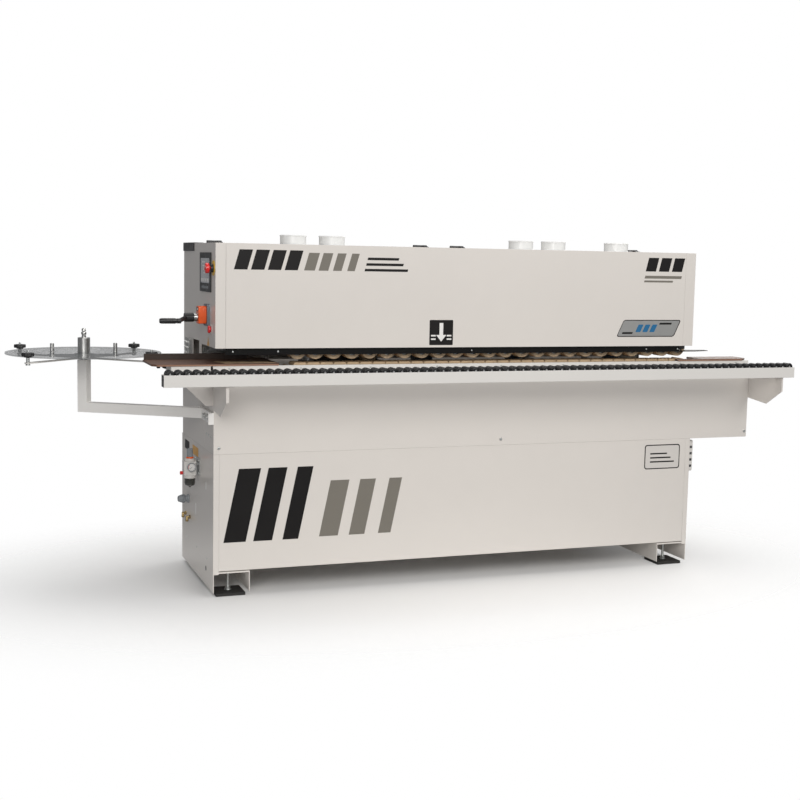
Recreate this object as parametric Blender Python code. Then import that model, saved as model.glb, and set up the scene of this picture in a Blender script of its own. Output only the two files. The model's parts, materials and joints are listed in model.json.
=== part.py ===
"""Compact automatic edge banding machine, built as separate pieces.

Lengths are in metres. Every place is measured from the left front corner of the base cabinet,
at floor height: X runs right along the feed, Y runs back from the operator, Z runs up.
The empty called machine carries every piece and puts the middle of the footprint at the origin.
"""
import math

import bmesh
import bpy
from mathutils import Matrix, Vector

# Base cabinet
BASE_LENGTH = 2.124
BASE_DEPTH = 0.655
BASE_LOW = 0.018
BASE_TOP = 0.563
PANEL_LOW = 0.104
SHEET = 0.003
SIDE_FLANGE = 0.022
FOOT_WIDTH = 0.146
FOOT_INSET = 0.070
FOOT_PAD = 0.0585
PAD_THICK = 0.013
STUD_RADIUS = 0.006
CHANNEL_ROOF = PANEL_LOW - 0.010

# Feed beam, tables and the line the board's edge runs on
BEAM_LENGTH = 2.413
BEAM_DEPTH = 0.174
BEAM_TOP = 0.884
TABLE_TOP = 0.914
BOARD_THICK = 0.008
EDGE_LINE = 0.205
INFEED_LEFT = -0.235

# Feed chain
CHAIN_LEFT = 0.347
CHAIN_RIGHT = 2.075
CHAIN_FRONT = 0.020
CHAIN_WIDTH = 0.080
CHAIN_THICK = 0.025
CHAIN_INNER = 0.060
PAD_PITCH = 0.054
CHAIN_AXLE = TABLE_TOP - CHAIN_THICK - CHAIN_INNER
CHAIN_MIDDLE = CHAIN_FRONT + CHAIN_WIDTH / 2

# Outer roller rail
RAIL_LEFT = -0.232
RAIL_RIGHT = 2.466
RAIL_FRONT = -0.250
RAIL_BACK = -0.200
RAIL_LOW = 0.851
RAIL_HIGH = 0.895
RAIL_ROLLERS = 79
RAIL_PITCH = 0.034
RAIL_ROLLER_RADIUS = 0.016

# Hood
HOOD_LENGTH = 2.096
HOOD_FRONT = -0.027
HOOD_BACK = 0.614
HOOD_LOW = 0.974
HOOD_TOP = 1.373
HOOD_SHEET = 0.002
END_STRIP = 0.040
DOOR_AXIS_Y = 0.385
DOOR_AXIS_Z = HOOD_TOP + 0.0065
HINGE_CENTRES = (0.080, 0.977, 1.148, 2.015)
HINGE_WIDTH = 0.060
SPIGOT_CENTRES = (0.351, 0.512, 1.350, 1.503, 1.808)
SPIGOT_Y = 0.160
SPIGOT_RADIUS = 0.051
SPIGOT_WALL = 0.002
SPIGOT_TOP = 1.411

# Pressure beam
PRESS_LEFT = 0.170
PRESS_RIGHT = 2.088
PRESS_ROLLERS = 24
PRESS_FIRST = 0.338
PRESS_PITCH = 0.07435
PRESS_RADIUS = 0.036
PRESS_GAP = 0.012
PRESS_AXLE = TABLE_TOP + PRESS_GAP + PRESS_RADIUS
SKIRT_LOW = 0.948
POSTS = (0.300, 1.800)
POST_Y = 0.400
POST_RADIUS = 0.015
SLIDING_GAP = 0.0005

# Upright rollers that touch the board's edge
GLUE_ROLLER_X = 0.440
GLUE_ROLLER_RADIUS = 0.026
PRESS_ROLLER_X = 0.700
PRESS_ROLLER_RADIUS = 0.036

# Height crank
CRANK_Y = 0.108
CRANK_Z = 1.086
GRIP_Y = 0.028
GRIP_Z = 1.076

# Coil holder
COIL_X = -0.430
COIL_Y = 0.487
COIL_RADIUS = 0.308
ARM_LOW = 0.683
ARM_SIZE = 0.040
ARM_ANGLE = math.radians(146.2)
POST_TOP = 0.895
DISC_TOP = 0.926

# Gap that neighbouring pieces keep
GAP = 0.0003

PAINT = ("paint", (0.75, 0.72, 0.68), 0.4, 0.0)
WHITE = ("white_paint", (0.80, 0.79, 0.76), 0.4, 0.0)
BLACK = ("black", (0.02, 0.02, 0.02), 0.5, 0.0)
STEEL = ("steel", (0.55, 0.55, 0.55), 0.3, 1.0)
DARK_STEEL = ("dark_steel", (0.15, 0.15, 0.15), 0.45, 0.9)
BROWN = ("laminate", (0.16, 0.08, 0.05), 0.3, 0.0)
TAN = ("tan_rubber", (0.58, 0.42, 0.27), 0.6, 0.0)
ORANGE = ("orange", (0.9, 0.15, 0.02), 0.4, 0.0)
RED = ("red", (0.75, 0.02, 0.02), 0.35, 0.0)
YELLOW = ("yellow", (0.8, 0.5, 0.05), 0.5, 0.0)
GREY = ("grey", (0.35, 0.35, 0.35), 0.5, 0.0)
ACRYLIC = ("acrylic", (0.45, 0.46, 0.46), 0.1, 0.0)
MOTOR_BLUE = ("motor", (0.12, 0.16, 0.22), 0.5, 0.3)

for old in list(bpy.data.objects):
    bpy.data.objects.remove(old, do_unlink=True)

machine = bpy.data.objects.new("machine", None)
bpy.context.collection.objects.link(machine)
footprint_x = (COIL_X - COIL_RADIUS + RAIL_RIGHT) / 2
footprint_y = (RAIL_FRONT + COIL_Y + COIL_RADIUS) / 2
machine.location = (-footprint_x, -footprint_y, 0)


# ---- drawing tools ----

def box(bm, x0, x1, y0, y1, z0, z1):
    """Draw a closed block between two corners."""
    size = Vector((x1 - x0, y1 - y0, z1 - z0))
    middle = Vector((x0 + x1, y0 + y1, z0 + z1)) / 2
    bmesh.ops.create_cube(bm, size=1, matrix=Matrix.Translation(middle) @ Matrix.Diagonal((*size, 1)))


def plate(bm, axis, outline, low, high):
    """Extrude a flat outline along an axis. The outline's pairs are the two other axes in order."""
    order = {"X": (2, 0, 1), "Y": (0, 2, 1), "Z": (0, 1, 2)}[axis]

    def corner(pair, along):
        values = (pair[0], pair[1], along)
        return tuple(values[i] for i in order)

    lower = [bm.verts.new(corner(pair, low)) for pair in outline]
    upper = [bm.verts.new(corner(pair, high)) for pair in outline]
    bm.faces.new(lower)
    bm.faces.new(upper)
    for i in range(len(outline)):
        j = (i + 1) % len(outline)
        bm.faces.new((lower[i], lower[j], upper[j], upper[i]))


def turned(bm, centre, axis, outline, sides=24):
    """Spin an outline of (radius, height) pairs. Without a zero radius it closes into a ring."""
    turn = Vector((0, 0, 1)).rotation_difference(Vector(axis)).to_matrix().to_4x4()
    place = Matrix.Translation(centre) @ turn
    rings = []
    for radius, height in outline:
        if radius == 0:
            rings.append([bm.verts.new(place @ Vector((0, 0, height)))])
            continue
        angles = [2 * math.pi * k / sides for k in range(sides)]
        rings.append([bm.verts.new(place @ Vector((radius * math.cos(a), radius * math.sin(a), height)))
                      for a in angles])
    solid = outline[0][0] == 0
    pairs = list(zip(rings, rings[1:])) if solid else list(zip(rings, rings[1:] + rings[:1]))
    for first, second in pairs:
        for k in range(sides):
            n = (k + 1) % sides
            if len(first) == 1:
                bm.faces.new((first[0], second[n], second[k]))
            elif len(second) == 1:
                bm.faces.new((first[k], first[n], second[0]))
            else:
                bm.faces.new((first[k], first[n], second[n], second[k]))


def rod(bm, start, end, radius, sides=20):
    """Draw a round bar between two points."""
    start = Vector(start)
    length = (Vector(end) - start).length
    turned(bm, start, Vector(end) - start, [(0, 0), (radius, 0), (radius, length), (0, length)], sides)


def shape(draw, *values, **named):
    """Start a fresh mesh holding one drawn shape."""
    bm = bmesh.new()
    draw(bm, *values, **named)
    return bm


def arc(centre, radius, start, end, steps):
    """Points of an arc in degrees, both ends included."""
    angles = [math.radians(start + (end - start) * k / steps) for k in range(steps + 1)]
    return [(centre[0] + radius * math.cos(a), centre[1] + radius * math.sin(a)) for a in angles]


def finish_of(look):
    """Fetch or make the material a look describes."""
    name, colour, roughness, metallic = look
    material = bpy.data.materials.get(name)
    if material is None:
        material = bpy.data.materials.new(name)
        material.use_nodes = True
        shader = material.node_tree.nodes["Principled BSDF"]
        shader.inputs["Base Color"].default_value = (*colour, 1)
        shader.inputs["Roughness"].default_value = roughness
        shader.inputs["Metallic"].default_value = metallic
    return material


def piece(name, bm, look, origin=(0, 0, 0)):
    """Make an object from a mesh drawn in machine places, with its own origin."""
    bmesh.ops.translate(bm, verts=bm.verts, vec=-Vector(origin))
    bmesh.ops.recalc_face_normals(bm, faces=bm.faces)
    mesh = bpy.data.meshes.new(name)
    bm.to_mesh(mesh)
    bm.free()
    if look is not None:
        mesh.materials.append(finish_of(look))
    mesh.shade_smooth()
    mesh.set_sharp_from_angle(angle=math.radians(35))
    obj = bpy.data.objects.new(name, mesh)
    obj.location = origin
    obj.parent = machine
    bpy.context.collection.objects.link(obj)
    return obj


def combine(obj, operation, shapes):
    """Add or cut each shape with a Boolean whose second body is a hidden tool."""
    for bm in shapes:
        tool = piece("tool_" + obj.name, bm, None)
        tool.hide_render = True
        tool.display_type = "WIRE"
        step = obj.modifiers.new(operation.lower(), "BOOLEAN")
        step.operation = operation
        step.solver = "EXACT"
        step.object = tool


def add(obj, *shapes):
    combine(obj, "UNION", shapes)


def cut(obj, *shapes):
    combine(obj, "DIFFERENCE", shapes)


# ---- base cabinet ----

def base_side(name, outer_x, inward):
    """Folded side sheet with a front and a back flange, standing on a welded foot channel."""
    flange_x = outer_x + inward * SIDE_FLANGE
    inner_x = outer_x + inward * SHEET
    fold = [(outer_x, 0), (flange_x, 0), (flange_x, SHEET), (inner_x, SHEET),
            (inner_x, BASE_DEPTH - SHEET), (flange_x, BASE_DEPTH - SHEET),
            (flange_x, BASE_DEPTH), (outer_x, BASE_DEPTH)]
    obj = piece(name, shape(plate, "Z", fold, BASE_LOW, BASE_TOP - GAP), PAINT)
    foot_x = sorted((outer_x + inward * 0.001, outer_x + inward * FOOT_WIDTH))
    roof = CHANNEL_ROOF
    add(obj, shape(box, *foot_x, 0.001, BASE_DEPTH - 0.001, roof, roof + 0.006))
    far_x = sorted((outer_x + inward * (FOOT_WIDTH - SHEET), outer_x + inward * FOOT_WIDTH))
    add(obj, shape(box, *far_x, 0.001, BASE_DEPTH - 0.001, BASE_LOW, roof + 0.003))
    below = shape(box, *sorted((outer_x + inward * SHEET, outer_x + inward * 0.030)), -0.001, SHEET + 0.001,
                  BASE_LOW - 0.001, roof - 0.004)
    back_below = shape(box, *sorted((outer_x + inward * SHEET, outer_x + inward * 0.030)),
                       BASE_DEPTH - SHEET - 0.001, BASE_DEPTH + 0.001, BASE_LOW - 0.001, roof - 0.004)
    cut(obj, below, back_below)
    for foot_y in (FOOT_INSET, BASE_DEPTH - FOOT_INSET):
        foot_middle = outer_x + inward * FOOT_WIDTH / 2
        cut(obj, shape(rod, (foot_middle, foot_y, roof - 0.01), (foot_middle, foot_y, roof + 0.02),
                       STUD_RADIUS + SLIDING_GAP, 16))
    return obj


def base_left_side():
    """Left side, with three upright lifting and cable slots."""
    obj = base_side("base_left_side", 0, 1)
    for slot_y, slot_z, half in ((0.352, 0.285, 0.018), (0.142, 0.418, 0.012), (0.140, 0.086, 0.010)):
        width = 0.008
        outline = arc((slot_y, slot_z + half - width), width, 0, 180, 6)
        outline += arc((slot_y, slot_z - half + width), width, 180, 360, 6)
        cut(obj, shape(plate, "X", outline, -0.01, 0.01))


def base_panels():
    """Front and back sheets with turned edges, set between the side flanges."""
    left = SIDE_FLANGE + GAP
    right = BASE_LENGTH - SIDE_FLANGE - GAP
    top = BASE_TOP - GAP
    hem = 0.015
    front = piece("base_front_panel", shape(box, left, right, 0, 0.0015, PANEL_LOW, top), PAINT)
    add(front, shape(box, left, right, 0.0005, hem, PANEL_LOW, PANEL_LOW + 0.0015))
    add(front, shape(box, left, right, 0.0005, hem, top - 0.0015, top))
    back_y = BASE_DEPTH
    back = piece("base_back_panel", shape(box, left, right, back_y - 0.0015, back_y, PANEL_LOW, top), PAINT)
    add(back, shape(box, left, right, back_y - hem, back_y - 0.0005, PANEL_LOW, PANEL_LOW + 0.0015))
    add(back, shape(box, left, right, back_y - hem, back_y - 0.0005, top - 0.0015, top))


def levelling_feet():
    """Four screwed feet: a square slab, the stud on it with its nut, and a lock nut under the channel roof."""
    number = 0
    nut = 0.0115
    for foot_x in (FOOT_WIDTH / 2, BASE_LENGTH - FOOT_WIDTH / 2):
        for foot_y in (FOOT_INSET, BASE_DEPTH - FOOT_INSET):
            number += 1
            slab = shape(box, foot_x - FOOT_PAD, foot_x + FOOT_PAD, foot_y - FOOT_PAD, foot_y + FOOT_PAD, 0, PAD_THICK)
            obj = piece(f"levelling_foot_{number}", slab, DARK_STEEL)
            stud = (foot_x, foot_y, PAD_THICK - 0.002), (foot_x, foot_y, CHANNEL_ROOF + 0.030)
            add(obj, shape(rod, *stud, STUD_RADIUS, 16))
            add(obj, shape(rod, (foot_x, foot_y, PAD_THICK - 0.001), (foot_x, foot_y, PAD_THICK + 0.010), nut, 6))
            add(obj, shape(rod, (foot_x, foot_y, CHANNEL_ROOF - 0.013), (foot_x, foot_y, CHANNEL_ROOF - GAP), nut, 6))


# ---- feed beam, bed and tables ----

def feed_beam():
    """Welded box beam, open on top, with the chain's guide rail on a shelf along its back wall."""
    wall = 0.005
    low = BASE_TOP
    obj = piece("feed_beam", shape(box, 0, BEAM_LENGTH, 0, BEAM_DEPTH, low, BEAM_TOP), PAINT)
    cut(obj, shape(box, wall, BEAM_LENGTH - wall, wall, BEAM_DEPTH - wall, low + wall, BEAM_TOP + 0.01))
    shelf_left = CHAIN_LEFT + 0.100
    shelf_right = CHAIN_RIGHT - 0.100
    rail_top = TABLE_TOP - CHAIN_THICK - GAP
    guide = [(0.032, 0.845), (BEAM_DEPTH - 0.002, 0.845), (BEAM_DEPTH - 0.002, 0.862),
             (0.088, 0.862), (0.088, rail_top), (0.032, rail_top)]
    add(obj, shape(plate, "X", guide, shelf_left, shelf_right))
    for axle_x in (CHAIN_LEFT, CHAIN_RIGHT):
        cut(obj, shape(rod, (axle_x, BEAM_DEPTH - 0.01, CHAIN_AXLE), (axle_x, BEAM_DEPTH + 0.01, CHAIN_AXLE),
                       0.0125 + SLIDING_GAP, 20))


def upper_body():
    """Machine bed behind the beam: an open tray of sheet with its floor set high, and two guide posts."""
    wall = 0.004
    y0 = BEAM_DEPTH + 0.0025
    y1 = 0.640
    top = 0.880
    floor = 0.700
    obj = piece("upper_body", shape(box, 0, HOOD_LENGTH, y0, y1, BASE_TOP, top), PAINT)
    cut(obj, shape(box, wall, HOOD_LENGTH - wall, y0 + wall, y1 - wall, floor, top + 0.01))
    cut(obj, shape(box, wall, HOOD_LENGTH - wall, y0 + wall, y1 - wall, BASE_TOP - 0.01, floor - 0.010))
    for post_x in POSTS:
        add(obj, shape(rod, (post_x, POST_Y, floor - 0.005), (post_x, POST_Y, 1.300), POST_RADIUS, 20))
    axle = (CHAIN_RIGHT, y0 - 0.01, CHAIN_AXLE)
    cut(obj, shape(rod, axle, (CHAIN_RIGHT, y0 + 0.01, CHAIN_AXLE), 0.016, 20))
    idle = (CHAIN_LEFT, y0 - 0.01, CHAIN_AXLE)
    cut(obj, shape(rod, idle, (CHAIN_LEFT, y0 + 0.01, CHAIN_AXLE), 0.016, 20))


def infeed_table():
    """Laminated infeed board, stepped clear of the coil holder, with the guide fence along its back."""
    low = TABLE_TOP - BOARD_THICK
    chain_start = CHAIN_LEFT - CHAIN_INNER - CHAIN_THICK - 0.003
    outline = [(INFEED_LEFT + 0.016, -0.008), (0.254, -0.008), (0.254, CHAIN_FRONT - 0.003),
               (chain_start, CHAIN_FRONT - 0.003), (chain_start, 0.285), (-0.130, 0.285), (-0.130, 0.222),
               (INFEED_LEFT, 0.222), (INFEED_LEFT, 0.010)]
    obj = piece("infeed_table", shape(plate, "Z", outline, low, TABLE_TOP), BROWN)
    fence = [(EDGE_LINE + 0.001, low + 0.004), (EDGE_LINE + 0.015, low + 0.004), (EDGE_LINE + 0.015, 0.938),
             (EDGE_LINE + 0.004, 0.938), (EDGE_LINE + 0.001, 0.934)]
    add(obj, shape(plate, "X", fence, INFEED_LEFT + 0.004, 0.180))


def infeed_support():
    """White box section under the infeed board, cantilevered past the beam's left end."""
    top = TABLE_TOP - BOARD_THICK - GAP
    obj = piece("infeed_support", shape(box, -0.163, -0.012, -0.003, 0.280, BEAM_TOP, top), WHITE)
    cut(obj, shape(box, -0.160, -0.015, 0.002, 0.290, BEAM_TOP - 0.01, top - 0.003))


def table_fascia():
    """Long white fascia along the beam's top edge."""
    top = TABLE_TOP - BOARD_THICK - GAP
    fold = [(-0.003, BEAM_TOP + GAP), (-0.003, top), (0.014, top), (0.014, top - 0.003),
            (0.000, top - 0.003), (0.000, BEAM_TOP + GAP)]
    piece("table_fascia", shape(plate, "X", fold, -0.003, 2.405), WHITE)


def outfeed_table():
    """Laminated outfeed board with a clipped corner."""
    low = TABLE_TOP - BOARD_THICK
    left = CHAIN_RIGHT + CHAIN_INNER + CHAIN_THICK + 0.003
    outline = [(2.040, -0.008), (2.370, -0.008), (2.407, 0.030), (2.407, 0.120), (left, 0.120),
               (left, CHAIN_FRONT - 0.003), (2.040, CHAIN_FRONT - 0.003)]
    piece("outfeed_table", shape(plate, "Z", outline, low, TABLE_TOP), BROWN)


# ---- feed track ----

def feed_chain():
    """Endless pad chain: a closed band of rubber pads around both sprockets."""
    outer = CHAIN_INNER + CHAIN_THICK
    groove_depth = 0.006
    groove = 0.003
    outline = []
    count = int((CHAIN_RIGHT - CHAIN_LEFT) / PAD_PITCH)
    for direction, height in ((1, CHAIN_AXLE + outer), (-1, CHAIN_AXLE - outer)):
        start = CHAIN_LEFT if direction > 0 else CHAIN_RIGHT
        for k in range(count):
            x = start + direction * (k + 0.5) * PAD_PITCH
            inside = height - direction * groove_depth
            outline += [(x, height), (x + direction * groove / 2, inside), (x + direction * groove, height)]
        if direction > 0:
            outline += arc((CHAIN_RIGHT, CHAIN_AXLE), outer, 90, -90, 12)
        else:
            outline += arc((CHAIN_LEFT, CHAIN_AXLE), outer, 270, 90, 12)
    bm = shape(plate, "Y", outline, CHAIN_FRONT, CHAIN_FRONT + CHAIN_WIDTH)
    obj = piece("feed_chain", bm, TAN)
    hole = arc((CHAIN_RIGHT, CHAIN_AXLE), CHAIN_INNER, 90, -90, 12)
    hole += arc((CHAIN_LEFT, CHAIN_AXLE), CHAIN_INNER, 270, 90, 12)
    cut(obj, shape(plate, "Y", hole, 0, 0.2))


def sprocket(name, axle_x, shaft_end):
    """Toothed wheel turned in one with its shaft."""
    teeth = 14
    outline = []
    for k in range(teeth):
        base_angle = 360 * k / teeth
        outline += arc((axle_x, CHAIN_AXLE), 0.052, base_angle, base_angle + 9, 1)
        outline += arc((axle_x, CHAIN_AXLE), 0.0585, base_angle + 12, base_angle + 17, 1)
    origin = (axle_x, CHAIN_MIDDLE, CHAIN_AXLE)
    bm = shape(plate, "Y", outline, CHAIN_MIDDLE - 0.008, CHAIN_MIDDLE + 0.008)
    obj = piece(name, bm, STEEL, origin)
    add(obj, shape(rod, (axle_x, 0.012, CHAIN_AXLE), (axle_x, shaft_end, CHAIN_AXLE), 0.0125, 20))


def sprockets():
    sprocket("drive_sprocket", CHAIN_RIGHT, 0.230)
    sprocket("idler_sprocket", CHAIN_LEFT, 0.200)


def feed_motor():
    """Worm gearbox on the drive shaft with its motor lying behind it."""
    x = CHAIN_RIGHT - 0.055
    obj = piece("feed_motor", shape(box, x - 0.010, 2.090, 0.215, 0.315, 0.7803, 0.876), MOTOR_BLUE)
    add(obj, shape(rod, (x - 0.005, 0.265, CHAIN_AXLE), (1.760, 0.265, CHAIN_AXLE), 0.045, 24))
    add(obj, shape(box, x, 2.080, 0.225, 0.305, 0.7003, 0.785))
    cut(obj, shape(rod, (CHAIN_RIGHT, 0.200, CHAIN_AXLE), (CHAIN_RIGHT, 0.235, CHAIN_AXLE), 0.013, 20))


# ---- outer roller rail ----

def roller_rail():
    """Folded channel, open on top, that carries the outer support rollers."""
    obj = piece("roller_rail", shape(box, RAIL_LEFT, RAIL_RIGHT, RAIL_FRONT, RAIL_BACK, RAIL_LOW, RAIL_HIGH), WHITE)
    wall = 0.0025
    cut(obj, shape(box, RAIL_LEFT + wall, RAIL_RIGHT - wall, RAIL_FRONT + wall, RAIL_BACK - wall,
                   RAIL_LOW + wall, RAIL_HIGH + 0.01))


def rail_rollers():
    """Row of small rollers, drawn as one comb on a narrow bearer."""
    first = (RAIL_LEFT + RAIL_RIGHT - (RAIL_ROLLERS - 1) * RAIL_PITCH) / 2
    axle_z = TABLE_TOP - RAIL_ROLLER_RADIUS
    outline = [(first - RAIL_ROLLER_RADIUS, axle_z - 0.012)]
    for k in range(RAIL_ROLLERS):
        outline += arc((first + k * RAIL_PITCH, axle_z), RAIL_ROLLER_RADIUS, 195, -15, 5)
    outline.append((first + (RAIL_ROLLERS - 1) * RAIL_PITCH + RAIL_ROLLER_RADIUS, axle_z - 0.012))
    piece("rail_rollers", shape(plate, "Y", outline, RAIL_FRONT + 0.0035, RAIL_BACK - 0.0035), BLACK)


def bracket(name, face_x, outward, wing):
    """Cantilever bracket of bent sheet: side plate, folded front lip and, on the left, a front wing."""
    x = sorted((face_x + outward * GAP, face_x + outward * (GAP + SHEET)))
    top = RAIL_LOW - GAP
    outline = [(0.060, 0.739), (0.000, 0.739), (-0.134, 0.726), (-0.237, 0.788), (-0.237, top), (0.060, top)]
    obj = piece(name, shape(plate, "X", outline, *x), PAINT)
    root = face_x + outward * (GAP + SHEET / 2)
    lip = sorted((root, face_x - outward * 0.009))
    add(obj, shape(box, *lip, -0.2365, -0.234, 0.790, top - 0.001))
    seat = sorted((root, face_x - outward * 0.030))
    add(obj, shape(box, *seat, -0.235, -0.190, top - SHEET, top - 0.0005))
    if wing:
        front = [(-0.002, 0.753), (-0.031, 0.753), (-0.106, 0.825), (-0.106, BEAM_TOP - GAP),
                 (-0.002, BEAM_TOP - GAP)]
        add(obj, shape(plate, "Y", front, -0.003 - GAP, -GAP))
    for bolt_z in (0.765, 0.825):
        head = [(face_x + outward * (GAP + 0.001), 0.030, bolt_z), (face_x + outward * 0.011, 0.030, bolt_z)]
        add(obj, shape(rod, *head, 0.0085, 6))


def brackets():
    bracket("rail_bracket_left", 0, -1, True)
    bracket("rail_bracket_right", BEAM_LENGTH, 1, False)


# ---- pressure beam ----

def pressure_beam():
    """Inverted channel over the rollers, hung on two arms whose sleeves slide on the guide posts."""
    y0 = 0.020
    y1 = 0.100
    wall = 0.006
    low = 0.957
    top = 1.050
    fold = [(y0, low), (y0, top), (y1, top), (y1, low), (y1 - wall, low), (y1 - wall, top - wall),
            (y0 + wall, top - wall), (y0 + wall, low)]
    obj = piece("pressure_beam", shape(plate, "X", fold, PRESS_LEFT, PRESS_RIGHT), DARK_STEEL)
    for post_x in POSTS:
        add(obj, shape(box, post_x - 0.030, post_x + 0.030, y1 - 0.003, POST_Y - 0.010, 1.020, top - 0.001))
        add(obj, shape(rod, (post_x, POST_Y, 1.000), (post_x, POST_Y, 1.100), 0.032, 24))
        cut(obj, shape(rod, (post_x, POST_Y, 0.990), (post_x, POST_Y, 1.110), POST_RADIUS + SLIDING_GAP, 24))


def pressure_rollers():
    """Row of rubber-tyred rollers on one axle bearer between the channel's walls."""
    obj = None
    bearer = 0.006
    last = PRESS_FIRST + (PRESS_ROLLERS - 1) * PRESS_PITCH
    opening = math.degrees(math.asin(bearer / PRESS_RADIUS))
    outline = []
    for k in range(PRESS_ROLLERS):
        outline += arc((PRESS_FIRST + k * PRESS_PITCH, PRESS_AXLE), PRESS_RADIUS, 180 - opening, opening, 6)
    for k in reversed(range(PRESS_ROLLERS)):
        outline += arc((PRESS_FIRST + k * PRESS_PITCH, PRESS_AXLE), PRESS_RADIUS, -opening, opening - 180, 6)
    obj = piece("pressure_rollers", shape(plate, "Y", outline, 0.031, 0.089), TAN)
    add(obj, shape(box, PRESS_FIRST - 0.140, last + 0.025, 0.0263, 0.0935, PRESS_AXLE + 0.002, PRESS_AXLE + 0.005))


def skirt_guard():
    """Black sheet skirt along the pressure beam's front, with the exit flap on its right end."""
    top = 0.990
    fold = [(-0.015, SKIRT_LOW), (-0.015, top), (0.020 - GAP, top), (0.020 - GAP, top - 0.002),
            (-0.013, top - 0.002), (-0.013, SKIRT_LOW)]
    obj = piece("skirt_guard", shape(plate, "X", fold, 0.041, 2.038), BLACK)
    flap = [(2.036, -0.015), (2.120, -0.015), (2.200, 0.010), (2.200, 0.040), (2.100, 0.060), (2.100, 0.0265),
            (2.036, 0.0265)]
    add(obj, shape(plate, "Z", flap, SKIRT_LOW, SKIRT_LOW + 0.0025))


# ---- height crank ----

def height_indicator():
    """Gravity position indicator on its grey plate, with the crank shaft running through."""
    obj = piece("height_indicator", shape(box, -0.010, -GAP, 0.077, 0.140, 1.053, 1.138), ORANGE)
    add(obj, shape(box, -0.042, -0.009, 0.085, 0.131, 1.062, 1.130))
    cut(obj, shape(rod, (-0.050, CRANK_Y, CRANK_Z), (0.005, CRANK_Y, CRANK_Z), 0.0085, 20))


def crank():
    """Shaft, collar, hub and slanted arm, with the spindle that the loose grip turns on."""
    origin = (-0.070, CRANK_Y, CRANK_Z)
    outline = [(0, -0.045), (0.008, -0.045), (0.008, 0.0425), (0.012, 0.0425), (0.012, 0.058),
               (0.0175, 0.058), (0.0175, 0.093), (0, 0.093)]
    obj = piece("crank_handle", shape(turned, (0, CRANK_Y, CRANK_Z), (-1, 0, 0), outline, 20), BLACK, origin)
    add(obj, shape(rod, (-0.085, CRANK_Y, CRANK_Z), (-0.127, GRIP_Y, GRIP_Z), 0.0085, 14))
    add(obj, shape(rod, (-0.120, GRIP_Y, GRIP_Z), (-0.135, GRIP_Y, GRIP_Z), 0.0098, 16))
    add(obj, shape(rod, (-0.130, GRIP_Y, GRIP_Z), (-0.197, GRIP_Y, GRIP_Z), 0.0045, 16))
    grip = [(0.005, 0.1355), (0.0085, 0.1355), (0.0105, 0.143), (0.0105, 0.194), (0.0085, 0.201), (0.005, 0.201)]
    bm = shape(turned, (0, GRIP_Y, GRIP_Z), (-1, 0, 0), grip, 20)
    piece("crank_grip", bm, BLACK, (-0.168, GRIP_Y, GRIP_Z))


# ---- hood ----

def hood_left_end():
    """Left end sheet with front and top strips, control cut-outs and the edging slot at its foot."""
    notch = [(HOOD_FRONT, HOOD_LOW), (0.245, HOOD_LOW), (0.245, 0.918), (0.283, 0.918), (0.283, 0.984),
             (0.415, 0.984), (0.415, 0.8803), (HOOD_BACK, 0.8803), (HOOD_BACK, HOOD_TOP), (HOOD_FRONT, HOOD_TOP)]
    obj = piece("hood_left_end", shape(plate, "X", notch, 0, HOOD_SHEET), PAINT)
    strip_end = END_STRIP - GAP
    add(obj, shape(box, 0.001, strip_end, HOOD_FRONT, HOOD_FRONT + HOOD_SHEET, HOOD_LOW, HOOD_TOP))
    add(obj, shape(box, 0.001, strip_end, HOOD_FRONT + 0.001, HOOD_BACK, HOOD_TOP - HOOD_SHEET, HOOD_TOP))
    cut(obj, shape(box, -0.01, 0.01, 0.070, 0.235, 1.200, 1.320))
    for hole_y, hole_z, radius in ((0.010, 1.277, 0.0115), (0.045, 1.043, 0.0115), (CRANK_Y, CRANK_Z, 0.011)):
        cut(obj, shape(rod, (-0.01, hole_y, hole_z), (0.01, hole_y, hole_z), radius, 20))


def hood_right_end():
    """Right end sheet with front and top strips, an outfeed window for the skirt and openings at its foot."""
    left = HOOD_LENGTH - HOOD_SHEET
    window_top = 1.035
    notch = [(HOOD_FRONT, HOOD_LOW), (-0.022, HOOD_LOW), (-0.022, window_top), (0.115, window_top),
             (0.115, HOOD_LOW), (0.245, HOOD_LOW), (0.245, 0.918), (0.283, 0.918), (0.283, 0.984),
             (0.415, 0.984), (0.415, 0.8803), (HOOD_BACK, 0.8803), (HOOD_BACK, HOOD_TOP), (HOOD_FRONT, HOOD_TOP)]
    obj = piece("hood_right_end", shape(plate, "X", notch, left, HOOD_LENGTH), PAINT)
    strip = HOOD_LENGTH - END_STRIP - 0.008
    right = HOOD_LENGTH - 0.001
    add(obj, shape(box, strip, right, HOOD_FRONT, HOOD_FRONT + HOOD_SHEET, HOOD_LOW, HOOD_TOP))
    add(obj, shape(box, strip, right, HOOD_FRONT + 0.001, HOOD_BACK, HOOD_TOP - HOOD_SHEET, HOOD_TOP))


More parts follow.
